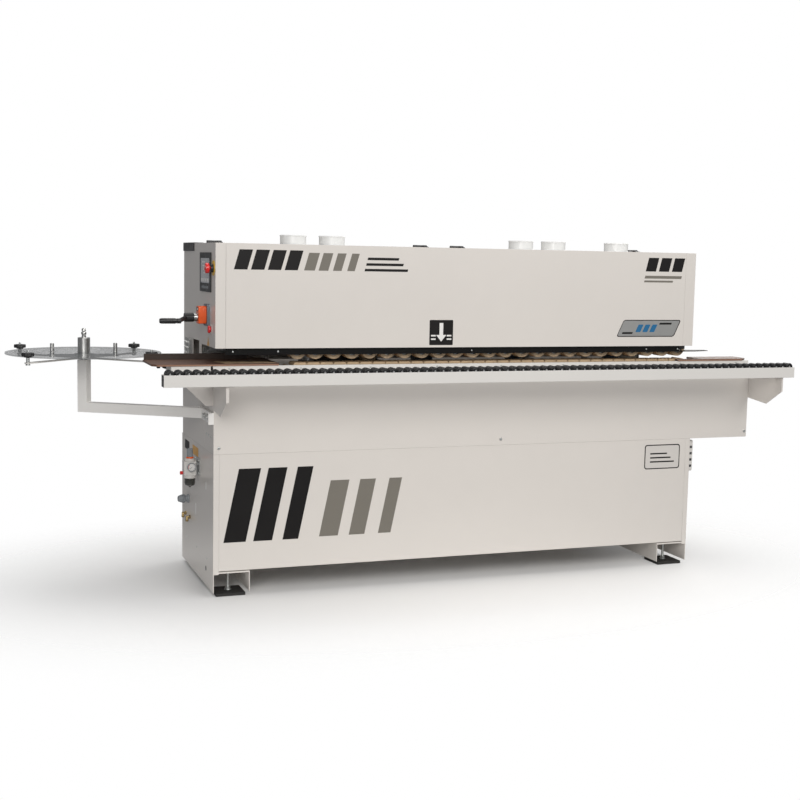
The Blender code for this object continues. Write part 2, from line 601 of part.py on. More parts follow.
def hood_rear_cover():
    """Bent back and rear top sheet between the two ends."""
    x0 = END_STRIP
    x1 = HOOD_LENGTH - END_STRIP - 0.008 - GAP
    front = DOOR_AXIS_Y + 0.0005
    fold = [(front, HOOD_TOP), (HOOD_BACK - GAP, HOOD_TOP), (HOOD_BACK - GAP, 0.8803),
            (HOOD_BACK - GAP - HOOD_SHEET, 0.8803), (HOOD_BACK - GAP - HOOD_SHEET, HOOD_TOP - HOOD_SHEET),
            (front + HOOD_SHEET, HOOD_TOP - HOOD_SHEET), (front + HOOD_SHEET, HOOD_TOP - 0.020),
            (front, HOOD_TOP - 0.020)]
    obj = piece("hood_rear_cover", shape(plate, "X", fold, x0, x1), PAINT)
    rear = HOOD_BACK - GAP
    for wing in ((HOOD_SHEET + GAP, x0 + 0.002), (x1 - 0.002, HOOD_LENGTH - HOOD_SHEET - GAP)):
        add(obj, shape(box, *wing, rear - 0.0017, rear - 0.0003, 0.885, HOOD_TOP - 0.0035))


def hood_door():
    """Front and front top in one bent sheet with five welded extraction spigots, hinged at its rear edge."""
    x0 = END_STRIP + GAP
    x1 = HOOD_LENGTH - END_STRIP - 0.008 - 2 * GAP
    front = HOOD_FRONT
    rear = DOOR_AXIS_Y - 0.0015
    fold = [(front, HOOD_LOW), (front, HOOD_TOP), (rear, HOOD_TOP), (rear, HOOD_TOP - HOOD_SHEET),
            (front + HOOD_SHEET, HOOD_TOP - HOOD_SHEET), (front + HOOD_SHEET, HOOD_LOW + HOOD_SHEET),
            (front + 0.007, HOOD_LOW + HOOD_SHEET), (front + 0.007, HOOD_LOW)]
    origin = (HOOD_LENGTH / 2, DOOR_AXIS_Y, DOOR_AXIS_Z)
    obj = piece("hood_door", shape(plate, "X", fold, x0, x1), PAINT, origin)
    for spigot_x in SPIGOT_CENTRES:
        below = HOOD_TOP - HOOD_SHEET - 0.001
        hole = SPIGOT_RADIUS - SPIGOT_WALL / 2
        cut(obj, shape(rod, (spigot_x, SPIGOT_Y, below - 0.01), (spigot_x, SPIGOT_Y, HOOD_TOP + 0.01), hole, 20))
        bore = SPIGOT_RADIUS - SPIGOT_WALL
        tube = [(bore, below), (SPIGOT_RADIUS, below), (SPIGOT_RADIUS, SPIGOT_TOP), (bore, SPIGOT_TOP)]
        add(obj, shape(turned, (spigot_x, SPIGOT_Y, 0), (0, 0, 1), tube, 20))
    for middle in HINGE_CENTRES:
        for side in (-1, 1):
            inner = middle + side * (HINGE_WIDTH / 6 + 0.0005)
            outer = middle + side * HINGE_WIDTH / 2
            left, right = sorted((inner, outer))
            leaf = [(DOOR_AXIS_Y - 0.034, HOOD_TOP - 0.0005), (DOOR_AXIS_Y - 0.034, HOOD_TOP + 0.003),
                    (DOOR_AXIS_Y - 0.004, HOOD_TOP + 0.010), (DOOR_AXIS_Y - 0.004, HOOD_TOP - 0.0005)]
            add(obj, shape(plate, "X", leaf, left, right))
            add(obj, shape(rod, (left, DOOR_AXIS_Y, DOOR_AXIS_Z), (right, DOOR_AXIS_Y, DOOR_AXIS_Z), 0.006, 10))
        cut(obj, shape(rod, (middle - 0.04, DOOR_AXIS_Y, DOOR_AXIS_Z), (middle + 0.04, DOOR_AXIS_Y, DOOR_AXIS_Z),
                       0.0032, 8))


def door_hinges():
    """Fixed hinge leaves on the rear top, each with its middle knuckle and its pin."""
    for number, middle in enumerate(HINGE_CENTRES, 1):
        half = HINGE_WIDTH / 6
        leaf = [(DOOR_AXIS_Y + 0.003, HOOD_TOP + GAP), (DOOR_AXIS_Y + 0.003, HOOD_TOP + 0.010),
                (DOOR_AXIS_Y + 0.034, HOOD_TOP + 0.003), (DOOR_AXIS_Y + 0.034, HOOD_TOP + GAP)]
        obj = piece(f"door_hinge_{number}", shape(plate, "X", leaf, middle - half, middle + half), BLACK)
        knuckle = ((middle - half, DOOR_AXIS_Y, DOOR_AXIS_Z), (middle + half, DOOR_AXIS_Y, DOOR_AXIS_Z))
        add(obj, shape(rod, *knuckle, 0.006, 10))
        reach = HINGE_WIDTH / 2
        pin = ((middle - reach, DOOR_AXIS_Y, DOOR_AXIS_Z), (middle + reach, DOOR_AXIS_Y, DOOR_AXIS_Z))
        add(obj, shape(rod, *pin, 0.0025, 8))


def rear_corner_cap():
    """Black plastic cap over the hood's left rear top corner."""
    y0 = 0.388
    obj = piece("rear_corner_cap", shape(box, -0.003, 0.038, y0, 0.618, 1.341, 1.376), BLACK)
    cut(obj, shape(box, -GAP, 0.050, y0 - 0.01, HOOD_BACK + GAP, 1.330, HOOD_TOP + GAP))


# ---- controls ----

def controls():
    """Operator panel in its window, emergency stop and reset button."""
    panel = piece("control_panel", shape(box, -0.004, -GAP, 0.048, 0.257, 1.184, 1.336), BLACK)
    add(panel, shape(box, -0.002, 0.045, 0.072, 0.233, 1.202, 1.318))
    cut(panel, shape(box, -0.010, -0.002, 0.112, 0.231, 1.215, 1.314))
    base = [(0.011, -0.030), (0.011, GAP), (0.029, GAP), (0.029, 0.0025), (0.016, 0.0025), (0.016, 0.012),
            (0.0055, 0.012), (0.0055, -0.030)]
    piece("estop_base", shape(turned, (0, 0.010, 1.277), (-1, 0, 0), base, 24), YELLOW)
    button = [(0, -0.028), (0.005, -0.028), (0.005, 0.017), (0.016, 0.017), (0.020, 0.022), (0.020, 0.029),
              (0.014, 0.033), (0, 0.034)]
    bm = shape(turned, (0, 0.010, 1.277), (-1, 0, 0), button, 24)
    piece("estop_button", bm, RED, (0, 0.010, 1.277))
    reset = [(0, -0.020), (0.0105, -0.020), (0.0105, 0.006), (0.0145, 0.007), (0.0145, 0.012),
             (0.010, 0.015), (0, 0.015)]
    bm = shape(turned, (0, 0.045, 1.043), (-1, 0, 0), reset, 20)
    piece("reset_button", bm, RED, (0, 0.045, 1.043))


# ---- compressed air and cable entry on the left side ----

def air_unit():
    """Filter regulator on its bracket, with a round bowl below and the pressure knob on top."""
    x = -0.034
    y = 0.300
    obj = piece("air_filter", shape(box, x - 0.028, x + 0.028, y - 0.028, y + 0.028, 0.430, 0.506), WHITE)
    bowl = [(0, 0.387), (0.010, 0.387), (0.019, 0.393), (0.021, 0.405), (0.021, 0.435), (0, 0.435)]
    add(obj, shape(turned, (x, y, 0), (0, 0, 1), bowl, 20))
    add(obj, shape(box, x + 0.020, -GAP, y - 0.040, y + 0.040, 0.485, 0.489))
    add(obj, shape(box, -0.004, -GAP, y - 0.040, y + 0.040, 0.440, 0.510))
    add(obj, shape(rod, (x, y - 0.027, 0.470), (x, y - 0.042, 0.470), 0.017, 20))
    add(obj, shape(rod, (x, y, 0.505), (x, y, 0.512), 0.012, 16))
    cut(obj, shape(rod, (x, y, 0.500), (x, y, 0.520), 0.0055, 16))
    knob = [(0, 0.502), (0.005, 0.502), (0.005, 0.5125), (0.012, 0.5125), (0.012, 0.540), (0.009, 0.547), (0, 0.547)]
    piece("regulator_knob", shape(turned, (x, y, 0), (0, 0, 1), knob, 20), GREY, (x, y, 0.525))


def cable_gland():
    """Ribbed gland where the mains supply enters."""
    outline = [(0.008, GAP), (0.018, GAP), (0.018, 0.008), (0.013, 0.010), (0.013, 0.016), (0.017, 0.018),
               (0.017, 0.032), (0.012, 0.046), (0.008, 0.048)]
    piece("cable_gland", shape(turned, (0, 0.497, 0.303), (-1, 0, 0), outline, 20), GREY)


# ---- coil holder ----

def coil_arm():
    """Square tube bent up into a post, welded to a strap along the machine's left side."""
    high = ARM_LOW + ARM_SIZE
    strap = piece("coil_arm", shape(box, -0.011, -GAP, -0.008, 0.262, ARM_LOW - 0.002, high + 0.002), PAINT)
    add(strap, shape(box, -0.022, -0.002, -0.008, -0.004, ARM_LOW - 0.002, high + 0.002))
    along = Vector((math.cos(ARM_ANGLE), math.sin(ARM_ANGLE), 0))
    across = Vector((-along.y, along.x, 0))
    centre = Vector((COIL_X, COIL_Y, 0))
    length = (centre.x + 0.006) / along.x
    half = ARM_SIZE / 2
    start = centre - along * length
    end = centre + along * half
    corners = [start - across * half, end - across * half, end + across * half, start + across * half]
    corners[0] += along * ((corners[0].x + 0.006) / -along.x)
    corners[3] += along * ((corners[3].x + 0.006) / -along.x)
    add(strap, shape(plate, "Z", [(c.x, c.y) for c in corners], ARM_LOW, high))
    post = [centre - along * half - across * half, centre + along * half - across * half,
            centre + along * half + across * half, centre - along * half + across * half]
    add(strap, shape(plate, "Z", [(c.x, c.y) for c in post], ARM_LOW, POST_TOP))
    for bolt_y in (0.060, 0.110):
        add(strap, shape(rod, (-0.010, bolt_y, ARM_LOW + 0.02), (-0.020, bolt_y, ARM_LOW + 0.02), 0.009, 16))


def coil_spindle():
    """Fixed steel pin on the post, with its shoulder and cap nut."""
    outline = [(0, POST_TOP + GAP), (0.014, POST_TOP + GAP), (0.014, POST_TOP + 0.004), (0.009, POST_TOP + 0.004),
               (0.009, 1.010), (0.0105, 1.010), (0.0105, 1.018), (0.004, 1.023), (0, 1.023)]
    piece("coil_spindle", shape(turned, (COIL_X, COIL_Y, 0), (0, 0, 1), outline, 20), STEEL)


def coil_cross():
    """Four flat arms with a clamping knob on a threaded pin at each end."""
    origin = (COIL_X, COIL_Y, 0.902)
    boss = [(0.0095, 0.8995), (0.030, 0.8995), (0.030, 0.9055), (0.0095, 0.9055)]
    obj = piece("coil_cross", shape(turned, (COIL_X, COIL_Y, 0), (0, 0, 1), boss, 32), WHITE, origin)
    for quarter in range(4):
        angle = math.radians(45 + 90 * quarter)
        along = Vector((math.cos(angle), math.sin(angle)))
        across = Vector((-along.y, along.x)) * 0.012
        centre = Vector((COIL_X, COIL_Y))
        bar = [centre + along * 0.022 - across, centre + along * 0.345 - across,
               centre + along * 0.345 + across, centre + along * 0.022 + across]
        add(obj, shape(plate, "Z", [tuple(p) for p in bar], 0.900, 0.905))
        pin = centre + along * 0.332
        knob = [(0, 0.893), (0.008, 0.893), (0.008, 0.901), (0.0045, 0.901), (0.0045, 0.924), (0.014, 0.924),
                (0.024, 0.928), (0.024, 0.939), (0.009, 0.942), (0.0045, 0.942), (0.0045, 0.950), (0, 0.950)]
        add(obj, shape(turned, (pin.x, pin.y, 0), (0, 0, 1), knob, 10))


def coil_core():
    """Turned hub with a flange under the disc and two core pins on a cross bar."""
    origin = (COIL_X, COIL_Y, 0.940)
    outline = [(0.0095, 0.906), (0.038, 0.906), (0.038, 0.9197), (0.0247, 0.9197), (0.0247, 0.985), (0.0095, 0.985)]
    obj = piece("coil_core", shape(turned, (COIL_X, COIL_Y, 0), (0, 0, 1), outline, 24), STEEL, origin)
    for side in (-1, 1):
        x = sorted((COIL_X + side * 0.030, COIL_X + side * 0.138))
        add(obj, shape(box, *x, COIL_Y - 0.012, COIL_Y + 0.012, 0.908, 0.918))
        add(obj, shape(rod, (COIL_X + side * 0.125, COIL_Y, 0.912), (COIL_X + side * 0.125, COIL_Y, 0.962), 0.008, 16))


def coil_disc():
    """Clear smoked disc that the edging coil lies on."""
    outline = [(0.025, 0.920), (COIL_RADIUS, 0.920), (COIL_RADIUS, DISC_TOP), (0.025, DISC_TOP)]
    origin = (COIL_X, COIL_Y, DISC_TOP)
    obj = piece("coil_disc", shape(turned, (COIL_X, COIL_Y, 0), (0, 0, 1), outline, 48), ACRYLIC, origin)
    for side in (-1, 1):
        pin_x = COIL_X + side * 0.125
        cut(obj, shape(rod, (pin_x, COIL_Y, 0.91), (pin_x, COIL_Y, 0.94), 0.0085, 16))


# ---- working units inside the hood ----

def gluing_unit():
    """Glue pot, the pedestal under it and the bearers of the glue and press rollers."""
    floor = 0.700 + GAP
    obj = piece("gluing_unit", shape(box, 0.480, 0.760, 0.290, 0.360, floor, 0.905), DARK_STEEL)
    add(obj, shape(box, 0.470, 0.610, 0.275, 0.370, 0.900, 1.060))
    cut(obj, shape(box, 0.478, 0.602, 0.283, 0.362, 0.930, 1.070))
    for bearer_x, radius in ((GLUE_ROLLER_X, GLUE_ROLLER_RADIUS), (PRESS_ROLLER_X, PRESS_ROLLER_RADIUS)):
        add(obj, shape(box, bearer_x - 0.025, bearer_x + 0.055, 0.215, 0.300, 0.885, 0.904))
        roller_y = EDGE_LINE + radius + 0.001
        cut(obj, shape(rod, (bearer_x, roller_y, 0.870), (bearer_x, roller_y, 0.910), 0.0085, 16))


def upright_roller(name, x, radius, look):
    """Roller on an upright spindle that stands in its bearer."""
    y = EDGE_LINE + radius + 0.001
    outline = [(0, 0.887), (0.008, 0.887), (0.008, 0.9055), (radius, 0.9055), (radius, 0.975), (0.008, 0.977),
               (0.008, 0.985), (0, 0.985)]
    piece(name, shape(turned, (x, y, 0), (0, 0, 1), outline, 28), look, (x, y, 0.940))


def end_trimmer():
    """End trimming motor on its slide column, and its saw."""
    floor = 0.700 + GAP
    obj = piece("end_trim_motor", shape(box, 0.980, 1.060, 0.420, 0.480, floor, 1.060), MOTOR_BLUE)
    add(obj, shape(rod, (0.960, 0.330, 1.020), (1.080, 0.330, 1.020), 0.038, 24))
    add(obj, shape(box, 0.990, 1.050, 0.340, 0.430, 1.000, 1.040))
    cut(obj, shape(rod, (0.950, 0.330, 1.020), (0.975, 0.330, 1.020), 0.0065, 16))
    blade = [(0, -0.012), (0.006, -0.012), (0.006, 0.0095), (0.014, 0.0095), (0.014, 0.012), (0.050, 0.012),
             (0.050, 0.015), (0.014, 0.015), (0.014, 0.018), (0, 0.018)]
    bm = shape(turned, (0.950, 0.330, 1.020), (-1, 0, 0), [(r, h - 0.003) for r, h in blade], 24)
    piece("end_trim_saw", bm, STEEL, (0.940, 0.330, 1.020))


def trim_motor(name, x, z, column_low, column_high):
    """High-frequency motor lying with its spindle towards the operator, on a flat column."""
    obj = piece(name, shape(rod, (x, 0.262, z), (x, 0.385, z), 0.036, 24), MOTOR_BLUE)
    add(obj, shape(box, x - 0.030, x + 0.030, 0.340, 0.384, column_low, column_high))
    cut(obj, shape(rod, (x, 0.255, z), (x, 0.278, z), 0.0065, 16))


def trim_cutter(name, x, z):
    """Four-wing cutter head on its spindle."""
    outline = []
    for k in range(4):
        wing_angle = 90 * k
        outline += arc((x, z), 0.034, wing_angle, wing_angle + 50, 5)
        outline += arc((x, z), 0.026, wing_angle + 52, wing_angle + 84, 3)
    y = EDGE_LINE + 0.006
    obj = piece(name, shape(plate, "Y", outline, y, y + 0.036), STEEL, (x, y, z))
    add(obj, shape(rod, (x, y + 0.030, z), (x, 0.276, z), 0.006, 16))


def trimming_units():
    """Upper trimmer on the pressure beam, lower trimmer on the bed."""
    upper_z = TABLE_TOP + PRESS_GAP + 0.034
    lower_z = TABLE_TOP - 0.034
    trim_motor("trim_motor_upper", 1.280, upper_z, upper_z, 1.049)
    carrier = bpy.data.objects["trim_motor_upper"]
    add(carrier, shape(box, 1.255, 1.305, 0.1003, 0.384, 1.012, 1.048))
    trim_cutter("trim_cutter_upper", 1.280, upper_z)
    trim_motor("trim_motor_lower", 1.430, lower_z, 0.700 + GAP, lower_z)
    trim_cutter("trim_cutter_lower", 1.430, lower_z)


def buffing_unit():
    """Buffing motor on its column and the cloth wheel."""
    z = 0.955
    obj = piece("buff_motor", shape(rod, (1.930, 0.300, z), (1.930, 0.420, z), 0.040, 24), MOTOR_BLUE)
    add(obj, shape(box, 1.900, 1.960, 0.370, 0.419, 0.700 + GAP, z))
    cut(obj, shape(rod, (1.930, 0.290, z), (1.930, 0.316, z), 0.0065, 16))
    wheel = [(0, 0.000), (0.050, 0.000), (0.062, 0.006), (0.062, 0.030), (0.050, 0.036), (0.006, 0.036),
             (0.006, 0.094), (0, 0.094)]
    y = EDGE_LINE + 0.016
    bm = shape(turned, (1.930, y, z), (0, 1, 0), wheel, 28)
    piece("buff_wheel", bm, WHITE, (1.930, y, z))


base_left_side()
base_side("base_right_side", BASE_LENGTH, -1)
base_panels()
levelling_feet()
feed_beam()
upper_body()
infeed_table()
infeed_support()
table_fascia()
outfeed_table()
feed_chain()
sprockets()
feed_motor()
roller_rail()
rail_rollers()
brackets()
pressure_beam()
pressure_rollers()
skirt_guard()
height_indicator()
crank()
hood_left_end()
hood_right_end()
hood_rear_cover()
hood_door()
door_hinges()
rear_corner_cap()
controls()
air_unit()
cable_gland()
coil_arm()
coil_spindle()
coil_cross()
coil_core()
coil_disc()
gluing_unit()
upright_roller("glue_roller", GLUE_ROLLER_X, GLUE_ROLLER_RADIUS, STEEL)
upright_roller("press_roller", PRESS_ROLLER_X, PRESS_ROLLER_RADIUS, TAN)
end_trimmer()
trimming_units()
buffing_unit()
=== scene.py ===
import json
import math

import bmesh
import bpy
from mathutils import Matrix, Vector

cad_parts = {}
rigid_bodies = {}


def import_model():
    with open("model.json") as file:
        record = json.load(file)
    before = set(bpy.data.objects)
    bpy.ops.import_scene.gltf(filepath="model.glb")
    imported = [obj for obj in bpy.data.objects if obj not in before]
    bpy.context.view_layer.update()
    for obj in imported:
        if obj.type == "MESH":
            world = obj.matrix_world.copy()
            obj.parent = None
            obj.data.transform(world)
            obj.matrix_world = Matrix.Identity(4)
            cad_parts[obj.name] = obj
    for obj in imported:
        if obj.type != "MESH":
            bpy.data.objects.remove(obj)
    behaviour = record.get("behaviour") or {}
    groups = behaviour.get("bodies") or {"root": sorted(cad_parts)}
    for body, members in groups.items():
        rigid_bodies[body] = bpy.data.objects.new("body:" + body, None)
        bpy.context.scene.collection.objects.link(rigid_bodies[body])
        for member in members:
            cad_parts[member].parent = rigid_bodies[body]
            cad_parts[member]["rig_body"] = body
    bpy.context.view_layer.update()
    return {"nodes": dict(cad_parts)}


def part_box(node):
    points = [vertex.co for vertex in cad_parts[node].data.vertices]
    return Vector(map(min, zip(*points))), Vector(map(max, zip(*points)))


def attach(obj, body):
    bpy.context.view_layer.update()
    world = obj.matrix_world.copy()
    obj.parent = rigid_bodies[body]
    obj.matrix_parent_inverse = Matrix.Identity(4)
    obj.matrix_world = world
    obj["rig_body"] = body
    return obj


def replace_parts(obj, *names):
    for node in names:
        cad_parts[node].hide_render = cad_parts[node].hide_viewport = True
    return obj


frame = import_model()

# ---- Camera ----
# A long lens at chest height, well in front of the machine and off its infeed end.
# It looks a little down and to the right, with the slight tilt of a hand-set tripod head.
EYE = Vector((-1.866, -5.0835, 1.326))
TURN = math.radians(20.10)
DIP = math.radians(6.30)
TILT = math.radians(1.10)
ahead = Vector((math.sin(TURN) * math.cos(DIP), math.cos(TURN) * math.cos(DIP), -math.sin(DIP)))
level = Vector((math.cos(TURN), -math.sin(TURN), 0))
upright = level.cross(ahead)
camera_data = bpy.data.cameras.new("camera")
camera_data.sensor_width = 36
camera_data.lens = 57.6
camera = bpy.data.objects.new("camera", camera_data)
bpy.context.scene.collection.objects.link(camera)
camera_x = level * math.cos(TILT) + upright * math.sin(TILT)
camera_y = upright * math.cos(TILT) - level * math.sin(TILT)
camera.matrix_world = Matrix.Translation(EYE) @ Matrix((camera_x, camera_y, -ahead)).transposed().to_4x4()
bpy.context.scene.camera = camera

# ---- Studio ----
# A pale floor that melts into a white room, lit by large soft boxes from the front, above and behind.
# Only the fill light grazes the infeed end of the machine, so that end stays in soft shade.
bpy.context.scene.view_settings.view_transform = "Standard"
room = bpy.data.worlds.new("white_room")
bpy.context.scene.world = room
room.use_nodes = True
room_nodes = room.node_tree.nodes
room_links = room.node_tree.links
seen = room_nodes["Background"]
seen.inputs["Color"].default_value = (1, 1, 1, 1)
seen.inputs["Strength"].default_value = 1.0
glow = room_nodes.new("ShaderNodeBackground")
glow.inputs["Color"].default_value = (0.96, 0.97, 1, 1)
glow.inputs["Strength"].default_value = 0.24
room_rays = room_nodes.new("ShaderNodeLightPath")
room_mix = room_nodes.new("ShaderNodeMixShader")
room_links.new(room_rays.outputs["Is Camera Ray"], room_mix.inputs["Fac"])
room_links.new(glow.outputs[0], room_mix.inputs[1])
room_links.new(seen.outputs[0], room_mix.inputs[2])
room_links.new(room_mix.outputs[0], room_nodes["World Output"].inputs["Surface"])

floor_mesh = bpy.data.meshes.new("floor")
floor_bm = bmesh.new()
bmesh.ops.create_circle(floor_bm, cap_ends=True, radius=6.0, segments=96)
floor_bm.to_mesh(floor_mesh)
floor_bm.free()
floor = bpy.data.objects.new("floor", floor_mesh)
bpy.context.scene.collection.objects.link(floor)
floor_paint = bpy.data.materials.new("pale_floor")
floor_paint.use_nodes = True
floor_nodes = floor_paint.node_tree.nodes
floor_links = floor_paint.node_tree.links
floor_shader = floor_nodes["Principled BSDF"]
floor_shader.inputs["Base Color"].default_value = (0.93, 0.93, 0.925, 1)
floor_shader.inputs["Roughness"].default_value = 0.8
floor_place = floor_nodes.new("ShaderNodeTexCoord")
floor_reach = floor_nodes.new("ShaderNodeVectorMath")
floor_reach.operation = "LENGTH"
floor_narrow = floor_nodes.new("ShaderNodeVectorMath")
floor_narrow.operation = "MULTIPLY"
floor_narrow.inputs[1].default_value = (0.60, 1.0, 1.0)
floor_links.new(floor_place.outputs["Object"], floor_narrow.inputs[0])
floor_links.new(floor_narrow.outputs["Vector"], floor_reach.inputs[0])
floor_fade = floor_nodes.new("ShaderNodeMapRange")
floor_fade.interpolation_type = "SMOOTHSTEP"
floor_fade.inputs["From Min"].default_value = 0.45
floor_fade.inputs["From Max"].default_value = 1.5
floor_fade.inputs["To Min"].default_value = 1.0
floor_fade.inputs["To Max"].default_value = 0.0
floor_links.new(floor_reach.outputs["Value"], floor_fade.inputs["Value"])
floor_links.new(floor_fade.outputs["Result"], floor_shader.inputs["Alpha"])
floor_mesh.materials.append(floor_paint)


def soft_box(name, place, aim, width, height, power, tint=(1, 0.985, 0.96)):
    """Hang a rectangular light at a place, facing a point."""
    data = bpy.data.lights.new(name, "AREA")
    data.shape = "RECTANGLE"
    data.size = width
    data.size_y = height
    data.energy = power
    data.color = tint
    light = bpy.data.objects.new(name, data)
    light.location = place
    light.rotation_euler = (Vector(aim) - Vector(place)).to_track_quat("-Z", "Y").to_euler()
    bpy.context.scene.collection.objects.link(light)


soft_box("key_light", (1.6, -5.2, 3.6), (0.1, 0, 0.9), 4.5, 2.6, 165)
soft_box("fill_light", (-2.6, -5.6, 2.4), (0, 0, 0.9), 3.0, 2.0, 126)
soft_box("top_light", (0.3, 0.2, 4.2), (0.2, 0.1, 0.8), 5.0, 2.2, 105)
soft_box("rim_light", (3.6, 3.0, 2.6), (0.3, 0.2, 0.9), 2.5, 2.0, 45)

# ---- Base cabinet ----
# Folded steel sheet, powder coated in a warm light grey: two sides that stand on welded foot boxes,
# and front and back panels hooked and screwed between them. The bends keep a small outside radius.
corner = Vector((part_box("base_left_side")[0].x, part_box("base_left_side")[0].y, 0))
PAINT = (0.700, 0.662, 0.622)


def new_group(name, inputs, outputs):
    """Start a shader group. Inputs and outputs are (name, socket type, default) rows."""
    group = bpy.data.node_groups.new(name, "ShaderNodeTree")
    for socket_name, kind, default in inputs:
        socket = group.interface.new_socket(socket_name, in_out="INPUT", socket_type="NodeSocket" + kind)
        socket.default_value = default
    for socket_name, kind in outputs:
        group.interface.new_socket(socket_name, in_out="OUTPUT", socket_type="NodeSocket" + kind)
    return group, group.nodes.new("NodeGroupInput"), group.nodes.new("NodeGroupOutput")


def noise_at(group, scale, detail=3.0, stretch=(1, 1, 1)):
    """Noise over the piece's own places, stretched where the grain runs."""
    place = group.nodes.new("ShaderNodeTexCoord")
    mapping = group.nodes.new("ShaderNodeMapping")
    mapping.inputs["Scale"].default_value = stretch
    noise = group.nodes.new("ShaderNodeTexNoise")
    noise.inputs["Scale"].default_value = scale
    noise.inputs["Detail"].default_value = detail
    group.links.new(place.outputs["Object"], mapping.inputs["Vector"])
    group.links.new(mapping.outputs["Vector"], noise.inputs["Vector"])
    return noise.outputs["Fac"]


def feed(group, socket, value):
    """Give a socket a plain value, or link it to another node's output."""
    if isinstance(value, bpy.types.NodeSocket):
        group.links.new(value, socket)
    else:
        socket.default_value = value


def spread(group, source, low, high):
    """Map a 0.3 to 0.7 noise value onto a range."""
    node = group.nodes.new("ShaderNodeMapRange")
    for socket, value in (("From Min", 0.3), ("From Max", 0.7), ("To Min", low), ("To Max", high),
                          ("Value", source)):
        feed(group, node.inputs[socket], value)
    return node.outputs["Result"]


def shade(group, colour, factor):
    """Multiply a colour by a value."""
    node = group.nodes.new("ShaderNodeVectorMath")
    node.operation = "SCALE"
    feed(group, node.inputs[0], colour)
    feed(group, node.inputs["Scale"], factor)
    return node.outputs["Vector"]


def bumped(group, height, strength, depth):
    """Normal of a surface raised by a height value."""
    node = group.nodes.new("ShaderNodeBump")
    for socket, value in (("Distance", depth), ("Strength", strength), ("Height", height)):
        feed(group, node.inputs[socket], value)
    return node.outputs["Normal"]


def surface_group(name, tones, wear, relief, depth):
    """Shader group for one kind of finish. A noise is given as scale, detail and stretch.

    Tones (noise, low, high) shade the colour, wear moves the roughness from smooth to dull,
    and relief raises the surface by up to a depth in metres.
    """
    group, given, result = new_group(name, SURFACE_IN, SURFACE_OUT)
    colour = given.outputs["Colour"]
    for tone, low, high in tones:
        colour = shade(group, colour, spread(group, noise_at(group, *tone), low, high))
    group.links.new(colour, result.inputs["Colour"])
    roughness = spread(group, noise_at(group, *wear), given.outputs["Smooth"], given.outputs["Dull"])
    group.links.new(roughness, result.inputs["Roughness"])
    group.links.new(bumped(group, noise_at(group, *relief), given.outputs["Relief"], depth),
                    result.inputs["Normal"])
    return group


SURFACE_IN = [("Colour", "Color", (0.5, 0.5, 0.5, 1)), ("Smooth", "Float", 0.3), ("Dull", "Float", 0.45),
              ("Relief", "Float", 0.2)]
SURFACE_OUT = [("Colour", "Color"), ("Roughness", "Float"), ("Normal", "Vector")]
HANDLING = (14.0, 6.0)
coat = surface_group("sprayed_coat", [((2.2, 4.0), 0.985, 1.005), (HANDLING, 0.995, 1.003)], HANDLING,
                     (420.0, 2.0), 0.0002)


def finish(name, group, colour, smooth, dull, relief, constants=(), dark=None):
    """Material whose colour, roughness and relief come from a surface group."""
    material = bpy.data.materials.new(name)
    material.use_nodes = True
    tree = material.node_tree
    shader = tree.nodes["Principled BSDF"]
    surface = tree.nodes.new("ShaderNodeGroup")
    surface.node_tree = group
    surface.inputs["Colour"].default_value = (*colour, 1)
    surface.inputs["Smooth"].default_value = smooth
    surface.inputs["Dull"].default_value = dull
    surface.inputs["Relief"].default_value = relief
    if dark:
        surface.inputs["Dark"].default_value = (*dark, 1)
    for output, socket in (("Colour", "Base Color"), ("Roughness", "Roughness"), ("Normal", "Normal")):
        tree.links.new(surface.outputs[output], shader.inputs[socket])
    for socket, value in dict(constants).items():
        shader.inputs[socket].default_value = value
    return material


paint = finish("light_grey_powder_coat", coat, PAINT, 0.30, 0.34, 0.10,
               {"Coat Weight": 0.2, "Coat Roughness": 0.15})
white_paint = finish("white_enamel", coat, (0.72, 0.70, 0.67), 0.28, 0.34, 0.10,
                     {"Coat Weight": 0.2, "Coat Roughness": 0.15})
dark_paint_and_shade = finish("dark_grey_enamel_and_shade", coat, (0.06, 0.06, 0.062), 0.35, 0.55, 0.35)


# Directions seen by the operator, who stands in front of the machine.
LEFT, RIGHT = (-1, 0, 0), (1, 0, 0)
FRONT, BACK = (0, -1, 0), (0, 1, 0)
DOWN, UP = (0, 0, -1), (0, 0, 1)


def box(bm, x0, x1, y0, y1, z0, z1):
    """Draw a closed block between two corners."""
    size = Vector((x1 - x0, y1 - y0, z1 - z0))
    middle = Vector((x0 + x1, y0 + y1, z0 + z1)) / 2
    bmesh.ops.create_cube(bm, size=1, matrix=Matrix.Translation(middle) @ Matrix.Diagonal((*size, 1)))


def plate(bm, axis, outline, low, high):
    """Extrude a flat outline along an axis. The outline's pairs are the two other axes in order."""
    order = {"X": (2, 0, 1), "Y": (0, 2, 1), "Z": (0, 1, 2)}[axis]

    def spot(pair, along):
        values = (pair[0], pair[1], along)
        return tuple(values[i] for i in order)

    lower = [bm.verts.new(spot(pair, low)) for pair in outline]
    upper = [bm.verts.new(spot(pair, high)) for pair in outline]
    bm.faces.new(lower)
    bm.faces.new(upper)
    for i in range(len(outline)):
        j = (i + 1) % len(outline)
        bm.faces.new((lower[i], lower[j], upper[j], upper[i]))


